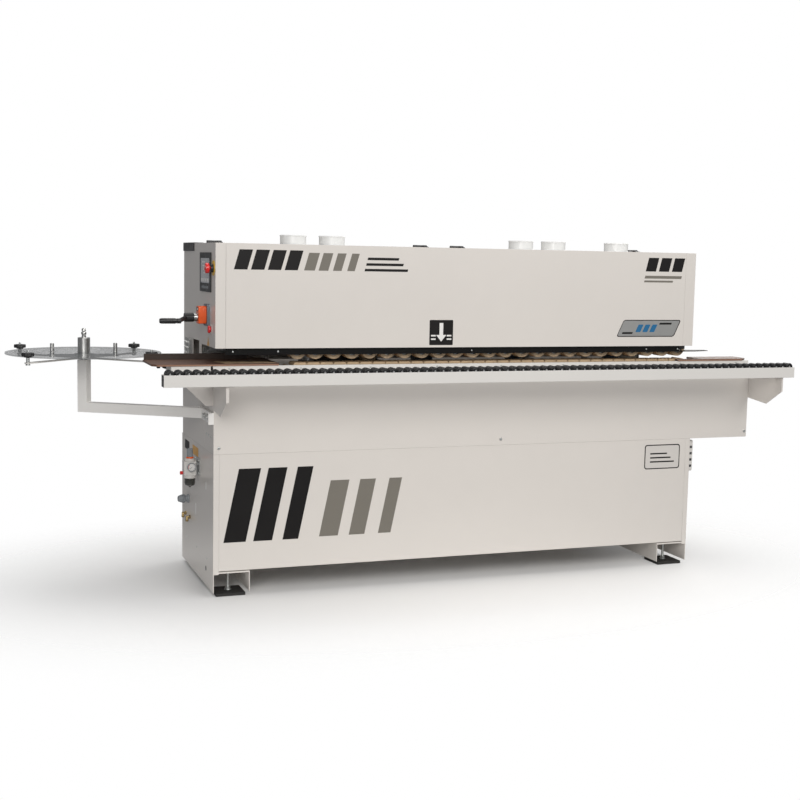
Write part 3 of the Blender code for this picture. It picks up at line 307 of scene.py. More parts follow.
def turned(bm, centre, axis, outline, sides=32, lobes=0, depth=0.0, phase=0.0):
    """Spin an outline of (radius, height) pairs, with an optional lobed rim. Open ends close into a ring."""
    turn = Vector(UP).rotation_difference(Vector(axis)).to_matrix().to_4x4()
    place = Matrix.Translation(centre) @ turn
    rings = []
    for radius, height in outline:
        if radius == 0:
            rings.append([bm.verts.new(place @ Vector((0, 0, height)))])
            continue
        ring = []
        for k in range(sides):
            angle = 2 * math.pi * k / sides + phase
            reach = radius * (1 + depth * math.cos(lobes * angle)) if lobes else radius
            ring.append(bm.verts.new(place @ Vector((reach * math.cos(angle), reach * math.sin(angle),
                                                     height))))
        rings.append(ring)
    solid = outline[0][0] == 0
    pairs = list(zip(rings, rings[1:])) if solid else list(zip(rings, rings[1:] + rings[:1]))
    for first, second in pairs:
        for k in range(sides):
            n = (k + 1) % sides
            if len(first) == 1:
                bm.faces.new((first[0], second[n], second[k]))
            elif len(second) == 1:
                bm.faces.new((first[k], first[n], second[0]))
            else:
                bm.faces.new((first[k], first[n], second[n], second[k]))


def rod(bm, start, end, radius, sides=24, chamfer=0.0):
    """Draw a round bar between two points, with optional chamfered ends."""
    start = Vector(start)
    span = Vector(end) - start
    long = span.length
    if chamfer:
        outline = [(0, 0), (radius - chamfer, 0), (radius, chamfer), (radius, long - chamfer),
                   (radius - chamfer, long), (0, long)]
    else:
        outline = [(0, 0), (radius, 0), (radius, long), (0, long)]
    turned(bm, start, span, outline, sides)


def arc(centre, radius, start, end, steps):
    """Points of an arc in degrees, both ends included."""
    angles = [math.radians(start + (end - start) * k / steps) for k in range(steps + 1)]
    return [(centre[0] + radius * math.cos(a), centre[1] + radius * math.sin(a)) for a in angles]


def rounded(low, high, radius, steps=5):
    """Outline of a rectangle with round corners."""
    left, right = low[0] + radius, high[0] - radius
    bottom, top = low[1] + radius, high[1] - radius
    outline = []
    for centre, start in (((right, top), 0), ((left, top), 90), ((left, bottom), 180),
                          ((right, bottom), 270)):
        outline += arc(centre, radius, start, start + 90, steps)
    return outline


def dress(obj, material, body, bevel, segments, angle):
    """Give an object its material, its smooth shading, its eased edges and its body."""
    obj.data.materials.clear()
    obj.data.materials.append(material)
    obj.data.shade_smooth()
    obj.data.set_sharp_from_angle(angle=math.radians(angle))
    if bevel:
        ease = obj.modifiers.new("eased_edges", "BEVEL")
        ease.width = bevel
        ease.segments = segments
        ease.limit_method = "ANGLE"
        ease.angle_limit = math.radians(angle)
        ease.use_clamp_overlap = True
        ease.harden_normals = True
    bpy.context.scene.collection.objects.link(obj)
    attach(obj, body)
    return obj


def make(name, bm, material, body="machine", bevel=0.0, segments=2, angle=35):
    """Finish a mesh drawn from the base's left front corner, as one visible piece."""
    bmesh.ops.translate(bm, verts=bm.verts, vec=corner)
    bmesh.ops.recalc_face_normals(bm, faces=bm.faces)
    mesh = bpy.data.meshes.new(name)
    bm.to_mesh(mesh)
    bm.free()
    return dress(bpy.data.objects.new(name, mesh), material, body, bevel, segments, angle)


def eased(node, material, bevel=0.0008, segments=2, angle=35):
    """Copy a frame node's shape with softened edges, and let the copy stand for the node."""
    source = frame["nodes"][node]
    bm = bmesh.new()
    bm.from_mesh(source.data)
    bmesh.ops.remove_doubles(bm, verts=bm.verts, dist=0.000005)
    bmesh.ops.dissolve_limit(bm, angle_limit=math.radians(0.6), verts=bm.verts, edges=bm.edges)
    mesh = bpy.data.meshes.new(node + "_body")
    bm.to_mesh(mesh)
    bm.free()
    obj = dress(bpy.data.objects.new(node + "_body", mesh), material, source["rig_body"], bevel,
                segments, angle)
    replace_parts(obj, node)
    return obj


def place(node):
    """Low and high corner of a node, measured from the base's left front corner."""
    low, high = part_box(node)
    return low - corner, high - corner


for node in ("base_left_side", "base_right_side"):
    eased(node, paint, 0.0012)
for node in ("base_front_panel", "base_back_panel"):
    eased(node, paint, 0.0006)

# ---- Base stickers ----
# Printed vinyl film laid on the front sheet: tall slanted black bars, then lighter grey ones.
# A blank plate with a black frame and three plain rules is stuck near the right end.
FILM = 0.0003
black_vinyl_and_shade = finish("black_vinyl_and_shade", coat, (0.007, 0.006, 0.006), 0.42, 0.5, 0.05,
                     {"Specular IOR Level": 0.25})
grey_vinyl = finish("grey_vinyl", coat, (0.19, 0.175, 0.15), 0.42, 0.5, 0.05, {"Specular IOR Level": 0.25})
pale_vinyl = finish("pale_vinyl", coat, (0.80, 0.79, 0.77), 0.28, 0.4, 0.05)
plate_vinyl = finish("plate_vinyl", coat, (0.64, 0.61, 0.58), 0.28, 0.4, 0.05)
panel_low, panel_high = place("base_front_panel")


def film(name, outlines, material, outer, inner, body="machine"):
    """Thin film or sheet cut to flat outlines, lying on a face that looks forward."""
    bm = bmesh.new()
    for outline in outlines:
        plate(bm, "Y", outline, outer, inner)
    return make(name, bm, material, body)


def bars(name, bar_rows, material, face, body="machine"):
    """Slanted bars of film on a front face. Rows hold left, width, low, high and lean."""
    outlines = [[(left, low), (left + width, low), (left + width + lean, high), (left + lean, high)]
                for left, width, low, high, lean in bar_rows]
    return film(name, outlines, material, face - FILM, face - FILM / 3, body)


sticker_low = panel_low.z + 0.112
sticker_high = panel_high.z - 0.058
rows = [(0.040 + 0.118 * k, 0.088 - 0.012 * k, sticker_low, sticker_high, 0.060) for k in range(3)]
bars("base_bars_black", rows, black_vinyl_and_shade, panel_low.y)
rows = [(0.426 + 0.124 * k, 0.078 - 0.012 * k, sticker_low + 0.004, sticker_high - 0.060, 0.046)
        for k in range(3)]
bars("base_bars_grey", rows, grey_vinyl, panel_low.y)
film("blank_plate_frame", [rounded((1.897, panel_low.z + 0.329), (2.073, panel_high.z - 0.022), 0.012)],
     black_vinyl_and_shade, panel_low.y - FILM, panel_low.y - FILM / 3)
film("blank_plate_face", [rounded((1.9015, panel_low.z + 0.3335), (2.0685, panel_high.z - 0.0265), 0.009)],
     plate_vinyl, panel_low.y - 2 * FILM, panel_low.y - FILM)
rows = [(1.925, 0.120 - 0.018 * k, 0.462 + 0.018 * k, 0.468 + 0.018 * k, 0) for k in range(3)]
bars("blank_plate_rules", rows, black_vinyl_and_shade, panel_low.y - 2 * FILM)

# ---- Base side fittings ----
# A small switch enclosure hangs on the right side near the front; glossy plugs close the two upper cable
# slots of the left side, and a black inset fills the lowest as painted shade of the open slot.
right_high = place("base_right_side")[1]
bm = bmesh.new()
plate(bm, "X", rounded((0.028, right_high.z - 0.150), (0.140, right_high.z - 0.012), 0.008),
      right_high.x + 0.0003, right_high.x + 0.034)
make("switch_enclosure", bm, white_paint, bevel=0.003, segments=3)
bm = bmesh.new()
for k in range(4):
    box(bm, right_high.x + 0.007, right_high.x + 0.0290, 0.0268, 0.0290, right_high.z - 0.132 + 0.028 * k,
        right_high.z - 0.121 + 0.028 * k)
turned(bm, (right_high.x + 0.034, 0.084, right_high.z - 0.081), RIGHT,
       [(0, 0), (0.019, 0), (0.018, 0.0015), (0.0120, 0.0020), (0.0115, 0.0050), (0, 0.0050)], 36)
make("switch_enclosure_ribs", bm, dark_paint_and_shade, bevel=0.0008)
left_low, left_high = place("base_left_side")
for name, material, slot, slot_rows in (
        ("cable_slot_plugs", pale_vinyl, "white_paint", ((0.352, 0.285, 0.024), (0.142, 0.418, 0.016))),
        ("low_slot_shade", black_vinyl_and_shade, "black", ((0.140, 0.086, 0.010),))):
    bm = bmesh.new()
    for slot_y, slot_z, half in slot_rows:
        outline = arc((slot_y, slot_z + half - 0.008), 0.0078, 0, 180, 10)
        outline += arc((slot_y, slot_z - half + 0.008), 0.0078, 180, 360, 10)
        plate(bm, "X", outline, left_low.x - 0.0006, left_low.x + 0.002)
    make(name, bm, material, bevel=0.0004)

# ---- Back louvres ----
# Two banks of louvres pressed out of the back sheet let the base breathe.
# Each slat is closed above and open below; a thin dark strip under each lip is painted shade in the gap.
back_low, back_high = place("base_back_panel")
SLATS = 7
SLAT_PITCH = 0.026
BANK_LENGTH = 0.240
slats = bmesh.new()
shadows = bmesh.new()
for bank_x in (0.420, 1.480):
    for k in range(SLATS):
        slat_z = 0.230 + SLAT_PITCH * k
        slat = [(back_high.y - 0.0005, slat_z), (back_high.y + 0.0050, slat_z),
                (back_high.y + 0.0046, slat_z + 0.003), (back_high.y - 0.0005, slat_z + 0.014)]
        plate(slats, "X", slat, bank_x, bank_x + BANK_LENGTH)
        box(shadows, bank_x + 0.003, bank_x + BANK_LENGTH - 0.003, back_high.y + 0.0001, back_high.y + 0.0044,
            slat_z - 0.0006, slat_z - 0.0001)
make("back_louvres", slats, paint, bevel=0.0008)
make("louvre_shadows", shadows, dark_paint_and_shade)

# ---- Levelling feet ----
# A zinc-plated threaded stud hangs from the foot box, locked by a hex nut under it and by another
# on a square slab of black rubber that lies on the floor.
SLAB = 0.013
THREAD_PITCH = 0.0022
NUT_FLATS = 0.0195
SCRATCHES = (90.0, 5.0, (1, 7, 7))
grain_group = surface_group("metal_grain", [((22.0, 3.0), 0.96, 1.02)], SCRATCHES, SCRATCHES, 0.0002)
steel = finish("machined_steel", grain_group, (0.56, 0.56, 0.55), 0.26, 0.36, 0.05, {"Metallic": 1.0})
zinc = finish("zinc_plate", grain_group, (0.62, 0.64, 0.63), 0.28, 0.42, 0.05, {"Metallic": 1.0})
black_steel = finish("blackened_steel", grain_group, (0.035, 0.035, 0.037), 0.3, 0.5, 0.2, {"Metallic": 0.7})

BLOOM = (30.0, 4.0)
mould_group = surface_group("moulded_skin", [(BLOOM, 0.85, 1.12)], BLOOM, (800.0, 2.0), 0.00025)
black_plastic = finish("black_moulding", mould_group, (0.014, 0.014, 0.015), 0.32, 0.5, 0.2)
black_rubber = finish("black_rubber", mould_group, (0.018, 0.017, 0.016), 0.6, 0.85, 0.5)


def six_sided(bm, centre, axis, across, low, high, washer=0.0):
    """Hex head or nut with a chamfered top and an optional washer under it."""
    radius = across / math.sqrt(3)
    turned(bm, centre, axis,
           [(0, low), (radius, low), (radius, high - 0.0008), (radius * 0.9, high), (0, high)], 6)
    if washer:
        turned(bm, centre, axis,
               [(0, low - 0.0012), (washer, low - 0.0012), (washer, low + 0.0004), (0, low + 0.0004)], 24)


thread = [(0, -0.0009), (0.0054, -0.0009), (0.0060, 0), (0.0054, 0.0009), (0, 0.0009)]
for number in range(1, 5):
    node = f"levelling_foot_{number}"
    low, high = place(node)
    stud_x, stud_y = (low.x + high.x) / 2, (low.y + high.y) / 2
    nut_low = high.z - 0.043
    bm = bmesh.new()
    rod(bm, (stud_x, stud_y, SLAB), (stud_x, stud_y, high.z), 0.0056, 20, 0.001)
    for k in range(1, int((high.z - SLAB) / THREAD_PITCH)):
        turned(bm, (stud_x, stud_y, SLAB + THREAD_PITCH * k), UP, thread, 16)
    six_sided(bm, (stud_x, stud_y, 0), UP, NUT_FLATS, nut_low, nut_low + 0.012, 0.0125)
    six_sided(bm, (stud_x, stud_y, 0), UP, NUT_FLATS, SLAB + 0.001, SLAB + 0.012, 0.0145)
    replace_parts(make(node + "_stud", bm, zinc), node)
    bm = bmesh.new()
    plate(bm, "Z", rounded((low.x, low.y), (high.x, high.y), 0.004), 0.0, SLAB - 0.0012)
    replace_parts(make(node + "_slab", bm, black_rubber, bevel=0.0012), node)

# ---- Feed beam ----
# Welded box section that carries the chain, powder coated like the base and longer than it.
# Dome-headed bolts hold it to the base through its front, and small screws close its left end.
eased("feed_beam", paint, 0.0015)
beam_low, beam_high = place("feed_beam")


def screw(bm, centre, axis, radius, height):
    """Round-headed screw with a recessed drive."""
    turned(bm, centre, axis,
           [(0, 0), (radius, 0), (radius, height * 0.45), (radius * 0.85, height * 0.85),
            (radius * 0.5, height), (radius * 0.42, height), (radius * 0.38, height * 0.5),
            (0, height * 0.5)], 20)


bm = bmesh.new()
for bolt_x in (beam_low.x + 0.021, 1.208, beam_high.x - 0.011):
    screw(bm, (bolt_x, beam_low.y, beam_low.z + 0.025), FRONT, 0.0062, 0.0035)
make("beam_front_bolts", bm, zinc)
bm = bmesh.new()
for screw_y in (0.041, 0.089, 0.130):
    screw(bm, (beam_low.x, screw_y, beam_low.z + 0.065), LEFT, 0.005, 0.0025)
make("beam_end_screws", bm, zinc)

# ---- Machine bed ----
# Folded sheet body behind the beam, with its floor set high and two ground guide posts standing on it.
# Two small stickers mark the base side just below it: a dark one and an amber one, both blank.
eased("upper_body", paint, 0.0012)
bed_high = place("upper_body")[1]
amber_vinyl = finish("amber_vinyl", coat, (0.75, 0.38, 0.03), 0.28, 0.4, 0.05)
for name, material, slot, low_y, high_y in (("side_label_dark", black_vinyl_and_shade, "black", 0.490, 0.590),
                                            ("side_label_amber", amber_vinyl, "yellow", 0.300, 0.420)):
    bm = bmesh.new()
    plate(bm, "X", rounded((low_y, left_high.z - 0.056), (high_y, left_high.z - 0.018), 0.004),
          left_low.x - FILM, left_low.x - FILM / 3)
    make(name, bm, material)

# ---- Tables ----
# Resin-laminated boards, brown right through, on white sheet sections along the beam's top.
# Their front edges show a lighter layer; dark hex bolts clamp the infeed board from below.
wood, wood_in, wood_out = new_group(
    "laminated_board", SURFACE_IN + [("Dark", "Color", (0.075, 0.036, 0.024, 1))], SURFACE_OUT)
fibre = noise_at(wood, 16.0, 8.0, (1.2, 14, 60))
wood_mix = wood.nodes.new("ShaderNodeMix")
wood_mix.data_type = "RGBA"
wood.links.new(fibre, wood_mix.inputs["Factor"])
wood.links.new(wood_in.outputs["Colour"], wood_mix.inputs[6])
wood.links.new(wood_in.outputs["Dark"], wood_mix.inputs[7])
wood.links.new(wood_mix.outputs[2], wood_out.inputs["Colour"])
wood.links.new(spread(wood, fibre, wood_in.outputs["Smooth"], wood_in.outputs["Dull"]),
               wood_out.inputs["Roughness"])
wood.links.new(bumped(wood, fibre, wood_in.outputs["Relief"], 0.0003), wood_out.inputs["Normal"])
board = finish("brown_board", wood, (0.19, 0.095, 0.06), 0.42, 0.55, 0.12, {"Coat Weight": 0.05},
               dark=(0.075, 0.036, 0.024))
board_edge = finish("board_edge_layer", wood, (0.42, 0.24, 0.16), 0.25, 0.4, 0.12, dark=(0.30, 0.15, 0.095))
fence_board = finish("dark_fence_board", wood, (0.055, 0.034, 0.024), 0.25, 0.4, 0.12,
                     dark=(0.022, 0.014, 0.011))
eased("infeed_table", board, 0.001)
eased("outfeed_table", board, 0.001)
eased("infeed_support", white_paint, 0.001)
eased("table_fascia", white_paint, 0.0006)
table_low, table_high = place("infeed_table")
out_low, out_high = place("outfeed_table")
bm = bmesh.new()
box(bm, table_low.x + 0.018, 0.2535, table_low.y - 0.0007, table_low.y - 0.0001, table_low.z + 0.0008,
    table_low.z + 0.0045)
box(bm, out_low.x + 0.001, out_high.x - 0.040, out_low.y - 0.0007, out_low.y - 0.0001, out_low.z + 0.0008,
    out_low.z + 0.0045)
make("board_edge_layers", bm, board_edge, bevel=0.0002)
bm = bmesh.new()
for bolt_x in (table_low.x + 0.030, table_low.x + 0.052):
    six_sided(bm, (bolt_x, 0.030, table_low.z), DOWN, 0.013, 0.0012, 0.009, 0.009)
make("infeed_board_bolts", bm, black_steel)
bm = bmesh.new()
box(bm, table_low.x + 0.0035, 0.1805, 0.2056, 0.2203, table_high.z - 0.0235, table_high.z + 0.0003)
make("fence_facing", bm, fence_board, bevel=0.0006)
fascia_low, fascia_high = place("table_fascia")
bm = bmesh.new()
for k in range(9):
    screw(bm, (0.060 + 0.285 * k, fascia_low.y, (fascia_low.z + fascia_high.z) / 2), FRONT, 0.004, 0.0016)
make("fascia_screws", bm, zinc)

# ---- Feed chain ----
# Steel roller chain with a bonded tan rubber pad on every link, run around two sprockets; the pads'
# corners are cut back so that they can fold. Thin pads of the same rubber lead the board up to it.
tan_rubber = finish("tan_rubber", mould_group, (0.50, 0.36, 0.22), 0.55, 0.8, 0.5)
chain_low, chain_high = place("feed_chain")
GLIDE_PADS = 4
bm = bmesh.new()
for k in range(GLIDE_PADS):
    pad_x = 0.046 + 0.052 * k
    plate(bm, "Z",
          [(pad_x, chain_low.y), (pad_x + 0.049, chain_low.y), (pad_x + 0.024, chain_high.y),
           (pad_x - 0.025, chain_high.y)], chain_high.z + 0.0001, chain_high.z + 0.0012)
make("infeed_glide_pads", bm, tan_rubber, bevel=0.0003)
PAD_REACH = (chain_high.z - chain_low.z) / 2
chain_z = (chain_high.z + chain_low.z) / 2
run_left = chain_low.x + PAD_REACH
run_right = chain_high.x - PAD_REACH
PITCH_REACH = PAD_REACH - 0.019
LINK = 0.0538
run = run_right - run_left
around = math.pi * PITCH_REACH
links = int(2 * (run + around) / LINK)
link = 2 * (run + around) / links


def add_moved(bm, part, matrix):
    """Move a separate part by a matrix and add it to a mesh."""
    bmesh.ops.transform(part, matrix=matrix, verts=part.verts)
    scrap = bpy.data.meshes.new("scrap")
    part.to_mesh(scrap)
    part.free()
    bm.from_mesh(scrap)
    bpy.data.meshes.remove(scrap)


pads = bmesh.new()
plates = bmesh.new()
for k in range(links):
    along = k * link
    if along < run:
        middle = Vector((run_left + along, 0, chain_z))
        turn = 0.0
    elif along < run + around:
        middle = Vector((run_right, 0, chain_z))
        turn = (along - run) / PITCH_REACH
    elif along < 2 * run + around:
        middle = Vector((run_right - (along - run - around), 0, chain_z))
        turn = math.pi
    else:
        middle = Vector((run_left, 0, chain_z))
        turn = math.pi + (along - 2 * run - around) / PITCH_REACH
    stand = Matrix.Translation(middle) @ Matrix.Rotation(turn, 4, "Y")
    half = link / 2 - 0.0007
    profile = [(-half, PAD_REACH - 0.012), (half, PAD_REACH - 0.012), (half, PAD_REACH - 0.006),
               (half - 0.005, PAD_REACH), (-half + 0.005, PAD_REACH), (-half, PAD_REACH - 0.006)]
    one = bmesh.new()
    plate(one, "Y", profile, chain_low.y + 0.001, chain_high.y - 0.001)
    add_moved(pads, one, stand)
    one = bmesh.new()
    end = half - 0.003
    outline = arc((end, PITCH_REACH), 0.0062, -90, 90, 5) + arc((-end, PITCH_REACH), 0.0062, 90, 270, 5)
    for side_y in (chain_low.y + 0.012, chain_low.y + 0.026, chain_high.y - 0.029, chain_high.y - 0.015):
        plate(one, "Y", outline, side_y, side_y + 0.003)
    rod(one, (half - 0.001, chain_low.y + 0.010, PITCH_REACH),
        (half - 0.001, chain_high.y - 0.010, PITCH_REACH), 0.003, 10)
    add_moved(plates, one, stand)
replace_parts(make("chain_pads", pads, tan_rubber, bevel=0.0006), "feed_chain")
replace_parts(make("chain_links", plates, black_steel), "feed_chain")

# ---- Chain drive ----
# Two steel sprockets turned in one with their shafts. A worm gearbox with its motor, in blue-grey enamel,
# turns the right-hand one; the motor has cooling ribs cast along it.
motor_paint = finish("blue_grey_enamel", coat, (0.10, 0.135, 0.18), 0.35, 0.55, 0.4)
eased("drive_sprocket", steel, 0.0005)
eased("idler_sprocket", steel, 0.0005)
eased("feed_motor", motor_paint, 0.003, 3)


def ribs(name, start, end, radius, count, body="machine"):
    """Cooling ribs that stand around a round motor lying between two points."""
    bm = bmesh.new()
    start = Vector(start)
    span = Vector(end) - start
    turn = Vector(UP).rotation_difference(span).to_matrix().to_4x4()
    for k in range(count):
        angle = 2 * math.pi * k / count
        one = Matrix.Translation(start) @ turn @ Matrix.Rotation(angle, 4, "Z")
        middle = Matrix.Translation((radius, 0, span.length / 2))
        size = Matrix.Diagonal((0.005, 0.0016, span.length, 1))
        bmesh.ops.create_cube(bm, size=1, matrix=one @ middle @ size)
    make(name, bm, motor_paint, body, bevel=0.0005)


ribs("feed_motor_ribs", (1.775, 0.265, chain_z), (1.975, 0.265, chain_z), 0.0455, 28)

# ---- Outer roller rail ----
# Folded white channel on two cantilever brackets. Black ribbed plastic rollers on steel pins stand in it,
# just proud of its top, so that a wide board runs along on them.
eased("roller_rail", white_paint, 0.0008)
rail_low, rail_high = place("roller_rail")
roller_low, roller_high = place("rail_rollers")
ROLLERS = 79
ROLLER = 0.016
pitch = (roller_high.x - roller_low.x - 2 * ROLLER) / (ROLLERS - 1)
axle_z = roller_high.z - ROLLER
roller_width = roller_high.y - roller_low.y
tyre = [(0.0045, 0.0), (0.0135, 0.0), (0.0155, 0.0012)]
for k in range(5):
    rib_low = 0.0012 + k * (roller_width - 0.0024) / 5
    rib_high = rib_low + (roller_width - 0.0024) / 5
    tyre += [(0.016, rib_low + 0.0006), (0.016, rib_high - 0.0020), (0.0146, rib_high - 0.0012),
             (0.0146, rib_high - 0.0002)]
tyre += [(0.0135, roller_width), (0.0045, roller_width)]
tyres = bmesh.new()
pins = bmesh.new()
for k in range(ROLLERS):
    middle = (roller_low.x + ROLLER + k * pitch, roller_low.y, axle_z)
    turned(tyres, middle, BACK, tyre, 20)
    rod(pins, (middle[0], rail_low.y + 0.0020, axle_z), (middle[0], rail_high.y - 0.0020, axle_z), 0.0042, 10,
        0.0006)
roller_plastic = finish("roller_plastic", mould_group, (0.007, 0.007, 0.008), 0.30, 0.45, 0.15,
                        {"Specular IOR Level": 0.3})
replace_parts(make("rail_roller_tyres", tyres, roller_plastic, bevel=0), "rail_rollers")
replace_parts(make("rail_roller_pins", pins, steel), "rail_rollers")
bm = bmesh.new()
plate(bm, "X",
      rounded((rail_low.y + 0.001, rail_low.z + 0.001), (rail_high.y - 0.001, rail_high.z - 0.001), 0.003),
      rail_low.x - 0.0002, rail_low.x - 0.0001)
for k in range(2):
    screw(bm, (rail_low.x - 0.0001, rail_low.y + 0.015 + 0.020 * k, rail_low.z + 0.022), RIGHT, 0.0035, 0.001)
make("rail_end_gasket", bm, dark_paint_and_shade)
for node, outward in (("rail_bracket_left", -1), ("rail_bracket_right", 1)):
    bracket_high = place(node)[1]
    face = beam_low.x if outward < 0 else beam_high.x
    sheet = 0.003
    top = bracket_high.z if outward > 0 else rail_low.z - 0.0003
    front = -0.237
    near, far = sorted((face + outward * 0.0003, face + outward * (0.0003 + sheet)))
    bm = bmesh.new()
    plate(bm, "X",
          [(0.060, 0.739), (0.000, 0.739), (-0.134, 0.726), (front, 0.788), (front, top), (0.060, top)], near,
          far)
    reach = sorted((near + outward * 0.0001, face + 0.008))
    box(bm, reach[0], reach[1], front + 0.0004, front + 0.0030, 0.789, top - 0.001)
    seat = sorted((face, face - outward * 0.030))
    box(bm, seat[0], seat[1], front + 0.0030, -0.190, top - sheet, top - 0.0004)
    if outward < 0:
        plate(bm, "Y",
              [(-0.002, 0.753), (-0.031, 0.753), (-0.106, 0.825), (-0.106, beam_high.z - 0.0003),
               (-0.002, beam_high.z - 0.0003)], -0.0033, -0.0004)
    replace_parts(make(node + "_sheet", bm, paint, bevel=0.0008), node)
bm = bmesh.new()
for outward in (-1, 1):
    face = beam_low.x if outward < 0 else beam_high.x
    for bolt_z in (0.765, 0.825):
        turned(bm, (face + outward * 0.0034, 0.030, bolt_z), (outward, 0, 0),
               [(0, 0), (0.013, 0), (0.013, 0.0016), (0, 0.0016)], 24)
        six_sided(bm, (face + outward * 0.0035, 0.030, bolt_z), (outward, 0, 0), 0.0165, 0.0016, 0.0078)
make("bracket_bolts", bm, zinc)

# ---- Pressure beam ----
# Dark painted channel hung on two arms, with a row of tan rubber-tyred rollers that press the board on
# the chain. A black sheet skirt covers its front; pale screws hold the skirt.
eased("pressure_beam", dark_paint_and_shade, 0.001)
press_low, press_high = place("pressure_rollers")
PRESSERS = 24
PRESSER = 0.036
first_x = 0.338
press_pitch = (press_high.x - 0.025 - first_x) / (PRESSERS - 1)
press_z = press_low.z + PRESSER
width = 0.058
press_tyre = [(0.022, 0.0), (0.0345, 0.0), (0.036, 0.002), (0.036, width - 0.002), (0.0345, width),
              (0.022, width)]
press_hub = [(0.0045, 0.004), (0.009, 0.002), (0.009, 0.008), (0.0215, 0.008), (0.0215, 0.002),
             (0.0225, 0.002), (0.0225, width - 0.002), (0.0215, width - 0.002), (0.0215, width - 0.008),
             (0.009, width - 0.008), (0.009, width - 0.002), (0.0045, width - 0.004)]
tyres = bmesh.new()
hubs = bmesh.new()
for k in range(PRESSERS):
    middle = (first_x + k * press_pitch, 0.031, press_z)
    turned(tyres, middle, BACK, press_tyre, 36)
    turned(hubs, middle, BACK, press_hub, 24)
    rod(hubs, (middle[0], press_low.y + 0.0005, press_z), (middle[0], press_high.y - 0.0005, press_z), 0.0045,
        14, 0.0006)
cream_rubber = finish("cream_rubber", mould_group, (0.62, 0.47, 0.31), 0.5, 0.75, 0.4)
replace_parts(make("pressure_roller_tyres", tyres, cream_rubber, "pressure_beam"),
            "pressure_rollers")
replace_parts(make("pressure_roller_hubs", hubs, steel, "pressure_beam"), "pressure_rollers")
skirt_paint = finish("black_sheet", coat, (0.006, 0.006, 0.006), 0.45, 0.6, 0.2, {"Specular IOR Level": 0.12})
eased("skirt_guard", skirt_paint, 0.0005)
skirt_low = place("skirt_guard")[0]
bm = bmesh.new()
for screw_x in (0.070, 0.248, 1.060, 1.875, 2.030):
    screw(bm, (screw_x, skirt_low.y, skirt_low.z + 0.012), FRONT, 0.0036, 0.0022)
make("skirt_screws", bm, zinc, "pressure_beam")

# ---- Hood ----
# Bent steel sheet in the same light grey: two ends, a fixed rear cover and a front door in one sheet that
# swings up. Short welded tube spigots on the door take the extraction hoses; their rims are rolled.
for node in ("hood_left_end", "hood_right_end", "hood_rear_cover"):
    eased(node, paint, 0.0008)
eased("hood_door", paint, 0.0008)
door_low, door_high = place("hood_door")
hood_top = place("hood_rear_cover")[1].z
SPIGOTS = (0.351, 0.512, 1.350, 1.503, 1.808)
spigot_white = finish("spigot_white", coat, (0.70, 0.71, 0.71), 0.2, 0.3, 0.1)
bm = bmesh.new()
for spigot_x in SPIGOTS:
    turned(bm, (spigot_x, 0.160, 0), UP,
           [(0.0492, door_high.z - 0.005), (0.0502, door_high.z - 0.006), (0.0530, door_high.z - 0.0058),
            (0.0538, door_high.z - 0.0035), (0.0528, door_high.z - 0.0008), (0.0505, door_high.z - 0.0001),
            (0.0488, door_high.z - 0.0012)], 48)
    turned(bm, (spigot_x, 0.160, 0), UP,
           [(0.0508, hood_top), (0.0545, hood_top), (0.0525, hood_top + 0.0022), (0.0508, hood_top + 0.0045)],
           48)
    turned(bm, (spigot_x, 0.160, 0), UP,
           [(0.0511, hood_top + 0.004), (0.0518, hood_top + 0.004), (0.0518, door_high.z - 0.005),
            (0.0511, door_high.z - 0.005)], 48)
make("spigot_rims_and_welds", bm, spigot_white, "hood_door")

# ---- Hood graphics ----
# Printed film on the door: a band of slanted blocks, a small stacked block at the right, a hand-safety square
# with a plain arrow, and a metal badge with three blue blocks. An amber triangle is on the hood's left end.
# None carries lettering.
face = door_low.y
rows = [(0.070 + 0.066 * k, 0.052, 1.274, 1.350, 0.022) for k in range(4)]
bars("door_band_black", rows, black_vinyl_and_shade, face, "hood_door")
rows = [(0.345 + 0.058 * k, 0.043 - 0.004 * k, 1.274, 1.342, 0.020) for k in range(4)]
bars("door_band_grey", rows, grey_vinyl, face, "hood_door")
rows = [(0.590, 0.180, 1.274, 1.284, 0.003), (0.596, 0.155, 1.296, 1.306, 0.003),
        (0.602, 0.130, 1.318, 1.328, 0.003)]
bars("door_band_lines", rows, black_vinyl_and_shade, face, "hood_door")
rows = [(1.850 + 0.064 * k, 0.050, 1.292, 1.350, 0.014) for k in range(3)]
bars("door_block_black", rows, black_vinyl_and_shade, face, "hood_door")
bars("door_block_grey", [(1.846, 0.180, 1.262, 1.274, 0.003), (1.844, 0.140, 1.246, 1.254, 0.002)],
     grey_vinyl, face, "hood_door")
film("hand_safety_square", [rounded((0.869, 0.983), (0.971, 1.084), 0.004)], black_vinyl_and_shade,
     face - FILM, face - FILM / 3, "hood_door")
bm = bmesh.new()
plate(bm, "Y",
      [(0.920, 0.997), (0.942, 1.024), (0.928, 1.024), (0.928, 1.072), (0.912, 1.072), (0.912, 1.024),
       (0.898, 1.024)], face - 2 * FILM, face - FILM)
for side in (-1, 1):
    for k in range(2):
        left = 0.920 + side * 0.034 - 0.010
        box(bm, left, left + 0.020, face - 2 * FILM, face - FILM, 1.004 + 0.014 * k, 1.010 + 0.014 * k)
make("hand_safety_arrow", bm, pale_vinyl, "hood_door")
bm = bmesh.new()
plate(bm, "X", [(0.084, 0.976), (0.126, 0.976), (0.105, 1.010)], -FILM, -FILM / 3)
make("hood_end_triangle", bm, amber_vinyl)
badge_metal = finish("badge_metal", grain_group, (0.42, 0.42, 0.41), 0.3, 0.45, 0.1, {"Metallic": 0.6})
blue_film = finish("blue_film", coat, (0.02, 0.14, 0.30), 0.25, 0.35, 0.05)
LEAN = 0.47
BADGE_BACK = 0.0008
BADGE_FACE = 0.0012
BADGE_PRINT = 0.0015


def leaning(low, high, radius):
    """Rounded rectangle leaned over to the right."""
    return [(x + (z - low[1]) * LEAN, z) for x, z in rounded(low, high, radius)]


